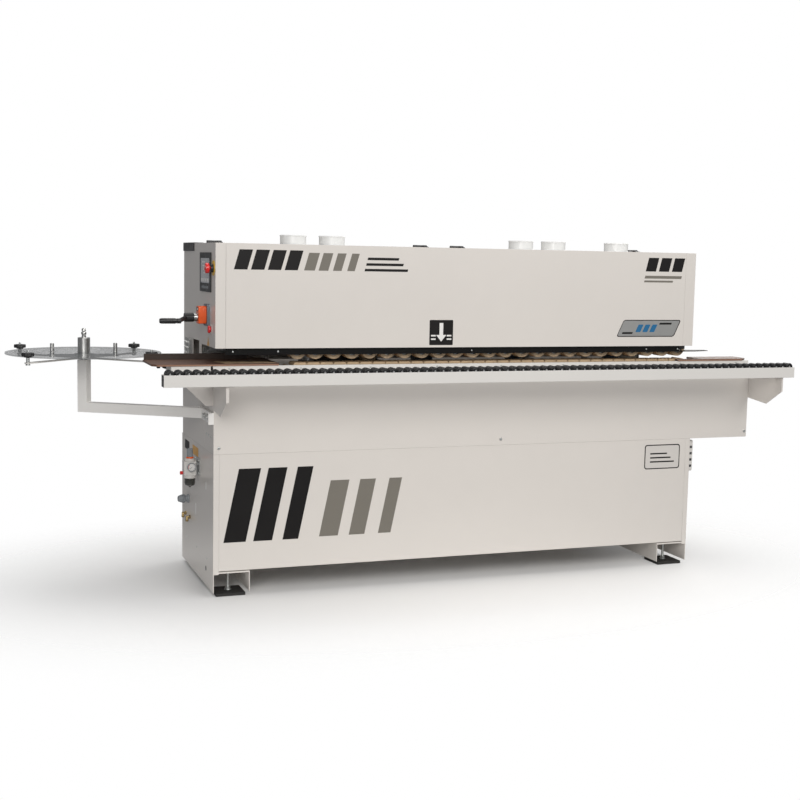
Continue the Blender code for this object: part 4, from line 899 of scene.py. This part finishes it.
blocks = [leaning((1.810 + 0.034 * k, 1.034), (1.834 + 0.034 * k, 1.066), 0.003) for k in range(3)]
strokes = [leaning((1.745, 1.026), (1.795, 1.034), 0.002), leaning((1.925, 1.066), (1.985, 1.074), 0.002)]
film("badge_border", [leaning((1.720, 1.014), (2.000, 1.086), 0.010)], black_vinyl_and_shade,
     face - BADGE_BACK, face - FILM / 3, "hood_door")
film("badge_plate", [leaning((1.724, 1.0175), (1.9975, 1.0825), 0.008)], badge_metal,
     face - BADGE_FACE, face - BADGE_BACK, "hood_door")
film("badge_blue_blocks", blocks, blue_film, face - BADGE_PRINT, face - BADGE_FACE, "hood_door")
film("badge_black_strokes", strokes, black_vinyl_and_shade, face - BADGE_PRINT, face - BADGE_FACE, "hood_door")

# ---- Door hinges ----
# Black cast hinges on the hood's top: two outer leaves on the door, the middle one on the rear cover,
# and a steel pin through the three knuckles.
for number in range(1, 5):
    node = f"door_hinge_{number}"
    eased(node, black_plastic, 0.0008)
    hinge_low, hinge_high = place(node)
    middle = (hinge_low.x + hinge_high.x) / 2
    axis_y = hinge_high.y - 0.034
    knuckle_z = hood_top + 0.0065
    bm = bmesh.new()
    for side in (-1, 1):
        left, right = sorted((middle + side * 0.0103, middle + side * 0.0304))
        plate(bm, "X",
              [(axis_y - 0.0346, hood_top + 0.0001), (axis_y - 0.0346, hood_top + 0.0034),
               (axis_y - 0.0036, hood_top + 0.0104), (axis_y - 0.0036, hood_top + 0.0001)], left, right)
        turned(bm, (left, axis_y, knuckle_z), RIGHT,
               [(0, 0), (0.0063, 0), (0.0063, right - left), (0, right - left)], 20)
        screw(bm, ((left + right) / 2, axis_y - 0.022, hood_top + 0.0052), (0, -0.22, 1), 0.0036, 0.0018)
    make(f"door_leaf_{number}", bm, black_plastic, "hood_door", bevel=0.0004)
eased("rear_corner_cap", black_plastic, 0.0012)

# ---- Controls ----
# Black operator panel with a grey screen and a row of soft keys, a red mushroom stop on a yellow ring,
# and a red reset button with a pale legend ring.
eased("control_panel", black_plastic, 0.001)
panel_low, panel_high = place("control_panel")
SMEAR = (9.0, 3.0)
screen_group = surface_group("display_glass", [(SMEAR, 0.9, 1.1)], SMEAR, SMEAR, 0.0005)
glass = finish("display_glass", screen_group, (0.50, 0.52, 0.54), 0.08, 0.15, 0.02)
bm = bmesh.new()
plate(bm, "X",
      rounded((panel_low.y + 0.024, panel_low.z + 0.034), (panel_high.y - 0.024, panel_high.z - 0.022),
              0.003), panel_low.x - 0.0006, panel_low.x + 0.0018)
make("display", bm, glass, bevel=0.0002)
bm = bmesh.new()
for k in range(4):
    box(bm, panel_low.x - 0.0009, panel_low.x - 0.0007, 0.150, 0.205 - 0.010 * k, 1.296 - 0.014 * k,
        1.302 - 0.014 * k)
for k in range(4):
    box(bm, panel_low.x - 0.0009, panel_low.x - 0.0007, 0.080 + 0.038 * k, 0.110 + 0.038 * k, 1.223, 1.236)
make("display_blocks", bm, pale_vinyl)
grey_plastic = finish("grey_plastic", mould_group, (0.27, 0.29, 0.31), 0.4, 0.6, 0.3)
bm = bmesh.new()
for k in range(5):
    turned(bm, (panel_low.x, 0.100 + 0.026 * k, 1.201), LEFT,
           [(0, 0), (0.0062, 0), (0.0058, 0.0010), (0.0035, 0.0016), (0, 0.0017)], 24)
make("panel_keys", bm, grey_plastic)
yellow_plastic = finish("yellow_plastic", mould_group, (0.80, 0.50, 0.04), 0.3, 0.45, 0.1)
red_plastic = finish("red_plastic", mould_group, (0.72, 0.022, 0.02), 0.2, 0.32, 0.05, {"Coat Weight": 0.3})
orange_plastic = finish("orange_plastic", mould_group, (0.93, 0.125, 0.018), 0.28, 0.42, 0.05,
                        {"Coat Weight": 0.2})
stop_low, stop_high = place("estop_base")
stop_middle = (0, (stop_low.y + stop_high.y) / 2, (stop_low.z + stop_high.z) / 2)
bm = bmesh.new()
turned(bm, stop_middle, LEFT,
       [(0.0165, 0.0003), (0.029, 0.0003), (0.029, 0.0018), (0.0282, 0.0025), (0.0165, 0.0025)], 48)
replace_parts(make("stop_ring", bm, yellow_plastic, bevel=0.0002), "estop_base")
bm = bmesh.new()
turned(bm, stop_middle, LEFT,
       [(0.011, -0.030), (0.011, 0.0003), (0.0160, 0.0003), (0.0160, 0.0090), (0.0150, 0.0116),
        (0.0055, 0.0116), (0.0055, -0.030)], 40)
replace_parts(make("stop_collar", bm, black_plastic, bevel=0.0003), "estop_base")
bm = bmesh.new()
turned(bm, stop_middle, LEFT,
       [(0, -0.028), (0.005, -0.028), (0.005, 0.0169), (0.0150, 0.0169), (0.0188, 0.0187), (0.0200, 0.0220),
        (0.0200, 0.0280), (0.0188, 0.0312), (0.0150, 0.0330), (0.0080, 0.0338), (0, 0.034)], 40)
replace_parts(make("stop_mushroom", bm, red_plastic, "emergency_stop"), "estop_button")
bm = bmesh.new()
for k in range(3):
    angle = math.radians(120 * k)
    swing = arc((stop_middle[1], stop_middle[2]), 0.0125, math.degrees(angle), math.degrees(angle) + 55, 6)
    swing += arc((stop_middle[1], stop_middle[2]), 0.0108, math.degrees(angle) + 55, math.degrees(angle), 6)
    plate(bm, "X", swing, -0.03395, -0.0330)
make("stop_turn_arrows", bm, pale_vinyl, "emergency_stop")
reset_low, reset_high = place("reset_button")
reset_middle = (0, (reset_low.y + reset_high.y) / 2, (reset_low.z + reset_high.z) / 2)
bm = bmesh.new()
turned(bm, reset_middle, LEFT,
       [(0, -0.020), (0.0105, -0.020), (0.0105, 0.006), (0.0145, 0.0068), (0.0145, 0.0115), (0.0130, 0.0138),
        (0.0095, 0.0148), (0, 0.015)], 36)
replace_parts(make("reset_cap", bm, red_plastic, "reset_button"), "reset_button")
bm = bmesh.new()
turned(bm, reset_middle, LEFT, [(0.0122, 0.0003), (0.0195, 0.0003), (0.0195, 0.0014), (0.0122, 0.0030)], 36)
make("reset_ring", bm, pale_vinyl)

# ---- Height crank and indicator ----
# Cast black crank on a steel shaft, with a loose turned grip. The orange indicator sits on a blue-grey plate
# and shows the board thickness in its window.
plate_paint = finish("blue_grey_plate", grain_group, (0.20, 0.24, 0.28), 0.35, 0.5, 0.1, {"Metallic": 0.4})
low, high = place("height_indicator")
bm = bmesh.new()
plate(bm, "X", rounded((low.y, low.z), (high.y, high.z), 0.004), -0.0100, -0.0003)
screw(bm, (-0.0100, high.y - 0.006, high.z - 0.007), LEFT, 0.0042, 0.003)
screw(bm, (-0.0100, high.y - 0.006, low.z + 0.007), LEFT, 0.0042, 0.003)
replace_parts(make("indicator_plate", bm, plate_paint, bevel=0.0004), "height_indicator")
bm = bmesh.new()
plate(bm, "X", rounded((low.y + 0.008, low.z + 0.009), (high.y - 0.009, high.z - 0.008), 0.006), low.x,
      -0.0102)
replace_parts(make("indicator_body", bm, orange_plastic, bevel=0.0018, segments=3),
            "height_indicator")
bm = bmesh.new()
plate(bm, "X", rounded((low.y + 0.014, high.z - 0.026), (high.y - 0.015, high.z - 0.013), 0.002),
      low.x - 0.0006, low.x - 0.0001)
make("indicator_window", bm, black_vinyl_and_shade, bevel=0.0001)
bm = bmesh.new()
for k in range(4):
    box(bm, low.x - 0.0009, low.x - 0.0006, low.y + 0.0175 + 0.0055 * k, low.y + 0.0205 + 0.0055 * k,
        high.z - 0.0235, high.z - 0.0155)
make("indicator_wheels", bm, pale_vinyl)
eased("crank_handle", black_plastic, 0.0008, 3)
eased("crank_grip", black_plastic, 0.0008, 3)
grip_low, grip_high = place("crank_grip")
grip_middle = (0, (grip_low.y + grip_high.y) / 2, (grip_low.z + grip_high.z) / 2)
bm = bmesh.new()
for k in range(7):
    step = grip_low.x + 0.012 + 0.007 * k
    turned(bm, (step, grip_middle[1], grip_middle[2]), RIGHT,
           [(0.0095, 0), (0.0109, 0.0008), (0.0109, 0.0024), (0.0095, 0.0032)], 32)
make("grip_rings", bm, black_plastic, "crank_grip")
bm = bmesh.new()
turned(bm, (0, 0.108, 1.086), LEFT, [(0.0122, 0.0430), (0.0150, 0.0430), (0.0150, 0.0560), (0.0122, 0.0560)],
       32)
screw(bm, (-0.049, 0.108, 1.101), UP, 0.002, 0.0012)
make("crank_collar", bm, steel, "crank")

# ---- Air supply ----
# Filter regulator on a folded bracket: white body, dark bowl, pressure gauge towards the operator,
# orange lock ring and grey knob. Brass elbows below it lead the hoses into the base.
knob_low, knob_high = place("regulator_knob")
air_x = (knob_low.x + knob_high.x) / 2
air_y = (knob_low.y + knob_high.y) / 2
bm = bmesh.new()
plate(bm, "Z", rounded((air_x - 0.028, air_y - 0.025), (air_x + 0.024, air_y + 0.025), 0.007), 0.438, 0.496)
turned(bm, (air_x, air_y, 0), UP, [(0, 0.425), (0.0235, 0.425), (0.0250, 0.428), (0.0250, 0.438), (0, 0.438)],
       36)
turned(bm, (air_x, air_y, 0), UP, [(0, 0.496), (0.022, 0.496), (0.018, 0.506), (0.006, 0.506), (0, 0.506)],
       36)
for side in (-1, 1):
    turned(bm, (air_x, air_y + side * 0.025, 0.458), (0, side, 0),
           [(0, 0), (0.012, 0), (0.012, 0.003), (0.007, 0.003), (0.007, 0.001), (0, 0.001)], 28)
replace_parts(make("filter_body", bm, white_paint, bevel=0.0012, segments=3), "air_filter")
smoke_plastic = finish("smoked_plastic", mould_group, (0.035, 0.035, 0.03), 0.12, 0.2, 0.02,
                       {"Coat Weight": 0.5})
bm = bmesh.new()
turned(bm, (air_x, air_y, 0), UP,
       [(0, 0.387), (0.004, 0.387), (0.004, 0.391), (0.010, 0.391), (0.019, 0.397), (0.0215, 0.406),
        (0.0215, 0.4245), (0, 0.4245)], 36, 12, 0.02)
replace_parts(make("filter_bowl", bm, smoke_plastic, bevel=0.0006), "air_filter")
bm = bmesh.new()
box(bm, -0.004, -0.0003, air_y - 0.040, air_y + 0.040, 0.440, 0.510)
box(bm, air_x + 0.018, -0.0035, air_y - 0.038, air_y + 0.038, 0.4850, 0.4885)
for side in (-1, 1):
    for screw_z in (0.450, 0.500):
        screw(bm, (-0.004, air_y + side * 0.034, screw_z), LEFT, 0.0040, 0.0025)
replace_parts(make("filter_bracket", bm, zinc, bevel=0.0005), "air_filter")
bm = bmesh.new()
gauge = (air_x, air_y - 0.025, 0.474)
turned(bm, gauge, FRONT,
       [(0, 0), (0.005, 0), (0.005, 0.005), (0.0165, 0.006), (0.0172, 0.008), (0.0172, 0.0158),
        (0.0164, 0.0168), (0.0148, 0.0168), (0.0148, 0.0150), (0, 0.0150)], 40)
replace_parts(make("gauge_case", bm, grey_plastic, bevel=0.0002), "air_filter")
bm = bmesh.new()
turned(bm, gauge, FRONT, [(0, 0.0151), (0.0146, 0.0151), (0.0146, 0.0154), (0, 0.0154)], 40)
make("gauge_dial", bm, pale_vinyl)


def dial_bar(bm, depth, degrees, reach, size):
    """Thin bar on the gauge's dial, turned about its middle: a tick or the needle."""
    turn = Matrix.Rotation(math.radians(degrees), 4, "Y")
    bar = Matrix.Translation((gauge[0], gauge[1] - depth, gauge[2])) @ turn
    bar = bar @ Matrix.Translation((reach, 0, 0)) @ Matrix.Diagonal((*size, 1))
    bmesh.ops.create_cube(bm, size=1, matrix=bar)


bm = bmesh.new()
for k in range(9):
    dial_bar(bm, 0.0155, -45 + 33.75 * k, 0.0118, (0.003, 0.0002, 0.0007))
dial_bar(bm, 0.0157, 140, 0.004, (0.013, 0.0003, 0.0009))
make("gauge_needle", bm, black_vinyl_and_shade)
bm = bmesh.new()
sweep = arc((gauge[0], gauge[2]), 0.0138, 135, 205, 8) + arc((gauge[0], gauge[2]), 0.0122, 205, 135, 8)
plate(bm, "Y", sweep, gauge[1] - 0.0156, gauge[1] - 0.0154)
turned(bm, (air_x - 0.0285, air_y + 0.004, 0.446), LEFT,
       [(0, 0), (0.0062, 0), (0.0062, 0.003), (0.0075, 0.004), (0.0075, 0.009), (0.0060, 0.011), (0, 0.011)],
       24, 6, 0.06)
make("gauge_red_mark_and_valve", bm, red_plastic)
bm = bmesh.new()
turned(bm, (air_x, air_y, 0), UP,
       [(0.0062, 0.5063), (0.0150, 0.5063), (0.0150, 0.5100), (0.0135, 0.5122), (0.0062, 0.5122)], 36)
make("knob_lock_ring", bm, orange_plastic, bevel=0.0003)
bm = bmesh.new()
turned(bm, (air_x, air_y, 0), UP,
       [(0, 0.502), (0.005, 0.502), (0.005, 0.5127), (0.0122, 0.5127), (0.0122, 0.5380), (0.0110, 0.5440),
        (0.0080, 0.5465), (0, knob_high.z)], 72, 18, 0.035)
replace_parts(make("pressure_knob", bm, grey_plastic, "regulator_knob"), "regulator_knob")
brass = finish("brass", grain_group, (0.42, 0.31, 0.15), 0.3, 0.45, 0.15, {"Metallic": 1.0})
bm = bmesh.new()
for elbow_y in (0.470, 0.560):
    six_sided(bm, (0, elbow_y, 0.228), LEFT, 0.015, 0.0004, 0.006)
    rod(bm, (-0.006, elbow_y, 0.228), (-0.016, elbow_y, 0.228), 0.0055, 24, 0.0008)
    turned(bm, (-0.0140, elbow_y, 0.228), DOWN,
           [(0, -0.0060), (0.004, -0.0055), (0.0056, -0.003), (0.0056, 0.008), (0.0066, 0.010),
            (0.0066, 0.016), (0.0055, 0.018), (0.0040, 0.018), (0.0040, 0.012), (0, 0.012)], 28)
make("air_elbows", bm, brass, bevel=0.0003)
eased("cable_gland", grey_plastic, 0.0005)
bm = bmesh.new()
gland_low, gland_high = place("cable_gland")
gland = (0, (gland_low.y + gland_high.y) / 2, (gland_low.z + gland_high.z) / 2)
for k in range(5):
    turned(bm, gland, LEFT,
           [(0.0160, 0.0190 + 0.0026 * k), (0.0178, 0.0194 + 0.0026 * k), (0.0178, 0.0206 + 0.0026 * k),
            (0.0160, 0.0210 + 0.0026 * k)], 32)
make("gland_ribs", bm, grey_plastic)

# ---- Coil holder ----
# Square steel tube bent up into a post and powder coated white; on its pin a clear smoked disc on a steel hub
# turns inside four fixed arms, each with a black star knob on a threaded pin that keeps the coil in.
# The post's white is painted lighter than the other white parts: painted light that makes up for the shade it
# stands in.
arm_paint_with_painted_light = finish("arm_enamel_with_painted_light", coat, (0.92, 0.90, 0.87), 0.26, 0.34, 0.1)
eased("coil_arm", arm_paint_with_painted_light, 0.002, 3)
cross_low, cross_high = place("coil_cross")
centre = Vector(((cross_low.x + cross_high.x) / 2, (cross_low.y + cross_high.y) / 2, 0))
spindle_low, spindle_high = place("coil_spindle")
bm = bmesh.new()
turned(bm, centre, UP,
       [(0, spindle_low.z), (0.0140, spindle_low.z), (0.0140, spindle_low.z + 0.0035),
        (0.0090, spindle_low.z + 0.0037), (0.0090, 0.9920), (0.0075, 0.9930), (0.0075, 0.9960),
        (0.0095, 0.9970), (0.0105, 0.9985), (0.0105, 1.0065), (0.0095, 1.0080), (0.0060, 1.0090),
        (0.0060, 1.0110), (0.0088, 1.0120), (0.0088, 1.0170), (0.0070, 1.0210), (0.0040, 1.0228),
        (0, spindle_high.z)], 40)
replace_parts(make("coil_spindle_pin", bm, steel), "coil_spindle")
core_low, core_high = place("coil_core")
bm = bmesh.new()
turned(bm, centre, UP,
       [(0.0095, core_low.z), (0.0375, core_low.z), (0.0380, core_low.z + 0.0006), (0.0380, 0.9191),
        (0.0374, 0.9197), (0.0247, 0.9197), (0.0247, core_high.z - 0.0012), (0.0235, core_high.z),
        (0.0095, core_high.z)], 48)
for side in (-1, 1):
    inner, outer = sorted((centre.x + side * 0.0365, centre.x + side * 0.138))
    box(bm, inner, outer, centre.y - 0.012, centre.y + 0.012, 0.9080, 0.9180)
    turned(bm, (centre.x + side * 0.125, centre.y, 0), UP,
           [(0, 0.9120), (0.0080, 0.9120), (0.0080, 0.9610), (0.0070, 0.9620), (0.0045, 0.9620),
            (0.0040, 0.9590), (0, 0.9590)], 32)
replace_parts(make("coil_hub", bm, steel, "coil_table", bevel=0.0004), "coil_core")
smoke, smoke_in, smoke_out = new_group("smoked_sheet", [
    ("Colour", "Color", (0.3, 0.3, 0.3, 1)), ("Clear", "Float", 0.3), ("Murky", "Float", 0.42)],
    [("Colour", "Color"), ("Alpha", "Float"), ("Roughness", "Float")])
haze = noise_at(smoke, 6.0, 5.0)
smoke.links.new(shade(smoke, smoke_in.outputs["Colour"], spread(smoke, haze, 0.9, 1.1)),
                smoke_out.inputs["Colour"])
smoke.links.new(spread(smoke, haze, smoke_in.outputs["Clear"], smoke_in.outputs["Murky"]),
                smoke_out.inputs["Alpha"])
smoke.links.new(spread(smoke, haze, 0.05, 0.14), smoke_out.inputs["Roughness"])
acrylic = bpy.data.materials.new("smoked_acrylic")
acrylic.use_nodes = True
acrylic_nodes = acrylic.node_tree.nodes
acrylic_surface = acrylic_nodes.new("ShaderNodeGroup")
acrylic_surface.node_tree = smoke
acrylic_surface.inputs["Colour"].default_value = (0.20, 0.21, 0.215, 1)
acrylic_surface.inputs["Clear"].default_value = 0.45
acrylic_surface.inputs["Murky"].default_value = 0.58
for output, socket in (("Colour", "Base Color"), ("Alpha", "Alpha"), ("Roughness", "Roughness")):
    acrylic.node_tree.links.new(acrylic_surface.outputs[output],
                                acrylic_nodes["Principled BSDF"].inputs[socket])
eased("coil_disc", acrylic, 0.0008)
arms = bmesh.new()
knobs = bmesh.new()
pins = bmesh.new()
ARM_HALF = 0.012
turned(arms, centre, UP, [(0.0095, 0.8995), (0.030, 0.8995), (0.030, 0.9055), (0.0095, 0.9055)], 48)
for quarter in range(4):
    angle = math.radians(45 + 90 * quarter)
    swing = Matrix.Translation(centre) @ Matrix.Rotation(angle, 4, "Z")
    outline = [(0.022, -ARM_HALF)] + arc((0.333, 0), ARM_HALF, -90, 90, 8) + [(0.022, ARM_HALF)]
    one = bmesh.new()
    plate(one, "Z", outline, 0.900, 0.905)
    add_moved(arms, one, swing)
    pin = swing @ Vector((0.332, 0, 0))
    rod(pins, (pin.x, pin.y, 0.893), (pin.x, pin.y, 0.950), 0.0043, 16, 0.0008)
    turned(pins, (pin.x, pin.y, 0), UP,
           [(0, 0.9055), (0.0068, 0.9055), (0.0068, 0.9225), (0.0060, 0.9235), (0, 0.9235)], 24)
    for k in range(4):
        turned(pins, (pin.x, pin.y, 0.9435 + 0.0016 * k), UP,
               [(0, -0.0007), (0.0042, -0.0007), (0.0049, 0), (0.0042, 0.0007), (0, 0.0007)], 16)
    six_sided(pins, (pin.x, pin.y, 0), UP, 0.0150, 0.8935, 0.8998)
    turned(knobs, (pin.x, pin.y, 0), UP,
           [(0.0050, 0.9240), (0.0130, 0.9240), (0.0130, 0.9277), (0.0205, 0.9279), (0.0222, 0.9296),
            (0.0222, 0.9402), (0.0205, 0.9419), (0.0050, 0.9422)], 60, 6, 0.08)
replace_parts(make("coil_arms", arms, white_paint, bevel=0.0008), "coil_cross")
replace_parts(make("coil_pins", pins, zinc), "coil_cross")
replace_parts(make("coil_star_knobs", knobs, black_plastic, bevel=0.0008), "coil_cross")
bm = bmesh.new()
for bolt_y in (0.060, 0.110):
    turned(bm, (-0.0112, bolt_y, 0.703), LEFT, [(0, 0), (0.0125, 0), (0.0125, 0.0015), (0, 0.0015)], 28)
    six_sided(bm, (-0.0112, bolt_y, 0.703), LEFT, 0.0175, 0.0015, 0.0098)
make("strap_bolts", bm, zinc)

# ---- Cover screws ----
# Round-headed screws with a recessed drive along the back of hood, bed and base, and on the outfeed end.
cover_high = place("hood_rear_cover")[1]
bm = bmesh.new()
HEAD = (0.0048, 0.0024)
for k in range(6):
    hood_x = 0.070 + 0.391 * k
    base_x = 0.070 + 0.396 * k
    for screw_z in (0.900, cover_high.z - 0.030):
        screw(bm, (hood_x, cover_high.y, screw_z), BACK, *HEAD)
    screw(bm, (hood_x, bed_high.y, 0.850), BACK, *HEAD)
    screw(bm, (base_x, back_high.y, back_high.z - 0.012), BACK, *HEAD)
    screw(bm, (base_x, back_high.y, back_low.z + 0.012), BACK, *HEAD)
end_high = place("hood_right_end")[1]
for screw_y in (0.030, 0.300, 0.560):
    screw(bm, (end_high.x, screw_y, end_high.z - 0.040), RIGHT, *HEAD)
    screw(bm, (end_high.x, screw_y, 1.075), RIGHT, *HEAD)
for screw_y in (0.120, 0.330, 0.540):
    screw(bm, (right_high.x, screw_y, 0.160), RIGHT, *HEAD)
    screw(bm, (left_low.x, screw_y, 0.130), LEFT, 0.0036, 0.0018)
make("cover_screws", bm, zinc)

# ---- Wiring ----
# Slotted grey trunking is screwed along the inside of the rear cover.
# Black rubber cables drop from it to the three motors that stay still, each through a small gland.
bm = bmesh.new()
TRUNK_DEPTH = 0.030
TRUNK_LEFT, TRUNK_RIGHT = 0.110, 2.000
TRUNK_LOW, TRUNK_HIGH = 1.150, 1.198
FINGERS = 94
FINGER_PITCH = 0.020
trunk_y = cover_high.y - 0.0045
trunk_front = trunk_y - TRUNK_DEPTH
box(bm, TRUNK_LEFT, TRUNK_RIGHT, trunk_front, trunk_y, TRUNK_LOW, TRUNK_LOW + 0.003)
box(bm, TRUNK_LEFT, TRUNK_RIGHT, trunk_front, trunk_y, TRUNK_HIGH - 0.003, TRUNK_HIGH)
box(bm, TRUNK_LEFT, TRUNK_RIGHT, trunk_y - 0.0025, trunk_y, TRUNK_LOW, TRUNK_HIGH)
for k in range(FINGERS):
    finger_x = TRUNK_LEFT + 0.002 + FINGER_PITCH * k
    box(bm, finger_x, finger_x + 0.014, trunk_front, trunk_front + 0.0020, TRUNK_LOW + 0.002,
        TRUNK_HIGH - 0.002)
make("cable_trunking", bm, grey_plastic)


def cable(bm, points, radius):
    """Round cable through a row of points, with round bends."""
    for first, second in zip(points, points[1:]):
        rod(bm, first, second, radius, 12)
    for point in points[1:-1]:
        bmesh.ops.create_uvsphere(bm, u_segments=12, v_segments=8, radius=radius,
                                  matrix=Matrix.Translation(point))


bm = bmesh.new()
CABLE = 0.0045
rear_y = trunk_front - 0.004
for motor_x, motor_y, motor_z in ((1.020, 0.484, 1.000), (1.430, 0.386, 0.880), (1.930, 0.422, 0.955)):
    route = [(motor_x, motor_y, motor_z), (motor_x, motor_y + 0.018, motor_z),
             (motor_x, rear_y - 0.020, motor_z + 0.030), (motor_x, rear_y, motor_z + 0.070),
             (motor_x, rear_y, TRUNK_LOW - 0.002), (motor_x, rear_y + 0.012, TRUNK_LOW + 0.010)]
    cable(bm, route, CABLE)
    gland_outline = [(0, 0), (0.010, 0), (0.010, 0.006), (0.0075, 0.012), (0, 0.012)]
    turned(bm, (motor_x, motor_y - 0.0015, motor_z), BACK, gland_outline, 20)
make("motor_cables", bm, black_rubber)

# ---- Working units ----
# Inside the hood, in the order a board meets them: glue pot and rollers, end saw, upper and lower trimmers,
# buffing wheel. Pots and bearers are dark enamelled castings, the motors blue-grey with ribs.
# Steel strips and blocks at the infeed end guide the edging in from the coil.
eased("gluing_unit", dark_paint_and_shade, 0.002, 3)
eased("glue_roller", steel, 0.0008)
eased("press_roller", cream_rubber, 0.0012)
eased("end_trim_motor", motor_paint, 0.0015)
eased("end_trim_saw", steel, 0.0003)
for node in ("trim_motor_upper", "trim_motor_lower", "buff_motor"):
    eased(node, motor_paint, 0.0015)
for node in ("trim_cutter_upper", "trim_cutter_lower"):
    eased(node, steel, 0.0005)
cloth = finish("buffing_cloth", mould_group, (0.70, 0.66, 0.58), 0.8, 0.95, 1.0)
eased("buff_wheel", cloth, 0.001)
bm = bmesh.new()
plate(bm, "Z", rounded((0.472, 0.277), (0.608, 0.368), 0.006), 1.0602, 1.0640)
turned(bm, (0.540, 0.322, 0), UP,
       [(0, 1.064), (0.008, 1.064), (0.006, 1.072), (0.014, 1.078), (0.014, 1.086), (0.010, 1.090),
        (0, 1.090)], 28)
for k in range(2):
    rod(bm, (0.492 + 0.076 * k, 0.366, 1.066), (0.512 + 0.076 * k, 0.366, 1.066), 0.004, 16, 0.0006)
make("glue_pot_lid", bm, steel, bevel=0.0006)
bm = bmesh.new()
for post_x in (0.300, 1.800):
    turned(bm, (post_x, 0.400, 0), UP,
           [(0.0162, 1.1003), (0.0300, 1.1003), (0.0300, 1.1080), (0.0285, 1.1095), (0.0162, 1.1095)], 40)
    for k in range(4):
        angle = math.radians(45 + 90 * k)
        screw(bm, (post_x + 0.0235 * math.cos(angle), 0.400 + 0.0235 * math.sin(angle), 1.1095), UP, 0.0032,
              0.0022)
make("sleeve_wipers", bm, zinc, "pressure_beam", bevel=0.0003)
bm = bmesh.new()
for k in range(6):
    six_sided(bm, (0.260 + 0.340 * k, 0.060, 1.050), UP, 0.013, 0.0002, 0.0075, 0.010)
make("pressure_beam_bolts", bm, zinc, "pressure_beam")
ribs("end_trim_ribs", (0.985, 0.330, 1.020), (1.072, 0.330, 1.020), 0.0385, 24)
ribs("upper_trim_ribs", (1.280, 0.272, 0.960), (1.280, 0.335, 0.960), 0.0365, 24, "pressure_beam")
ribs("lower_trim_ribs", (1.430, 0.272, 0.880), (1.430, 0.335, 0.880), 0.0365, 24)
ribs("buff_motor_ribs", (1.930, 0.308, 0.955), (1.930, 0.364, 0.955), 0.0405, 26)
bm = bmesh.new()
for strip_y in (0.302, 0.392):
    plate(bm, "Y", [(0.032, 0.884), (0.200, 0.884), (0.200, 0.952), (0.044, 0.952), (0.032, 0.930)], strip_y,
          strip_y + 0.003)
    for k in range(2):
        six_sided(bm, (0.070 + 0.080 * k, strip_y, 0.905), FRONT, 0.010, 0.0002, 0.005, 0.007)
turned(bm, (0.060, 0.350, 0), UP,
       [(0, 0.884), (0.014, 0.884), (0.007, 0.902), (0.0045, 0.905), (0.0045, 0.960), (0.0035, 0.962),
        (0, 0.962)], 28)
for k in range(3):
    guide_y = 0.420 + 0.032 * k
    box(bm, -0.016, -0.0003, guide_y, guide_y + 0.020, 0.886, 0.984)
    for row in range(4):
        six_sided(bm, (-0.016, guide_y + 0.010, 0.901 + 0.022 * row), LEFT, 0.009, 0.0002, 0.0045)
make("edging_guides", bm, steel, bevel=0.0004)
# Dark blocks in the gaps between the guide plates are painted shade.
bm = bmesh.new()
for k in range(2):
    box(bm, -0.013, -0.0004, 0.4404 + 0.032 * k, 0.4516 + 0.032 * k, 0.886, 0.982)
make("edging_guide_gap_shade", bm, dark_paint_and_shade)
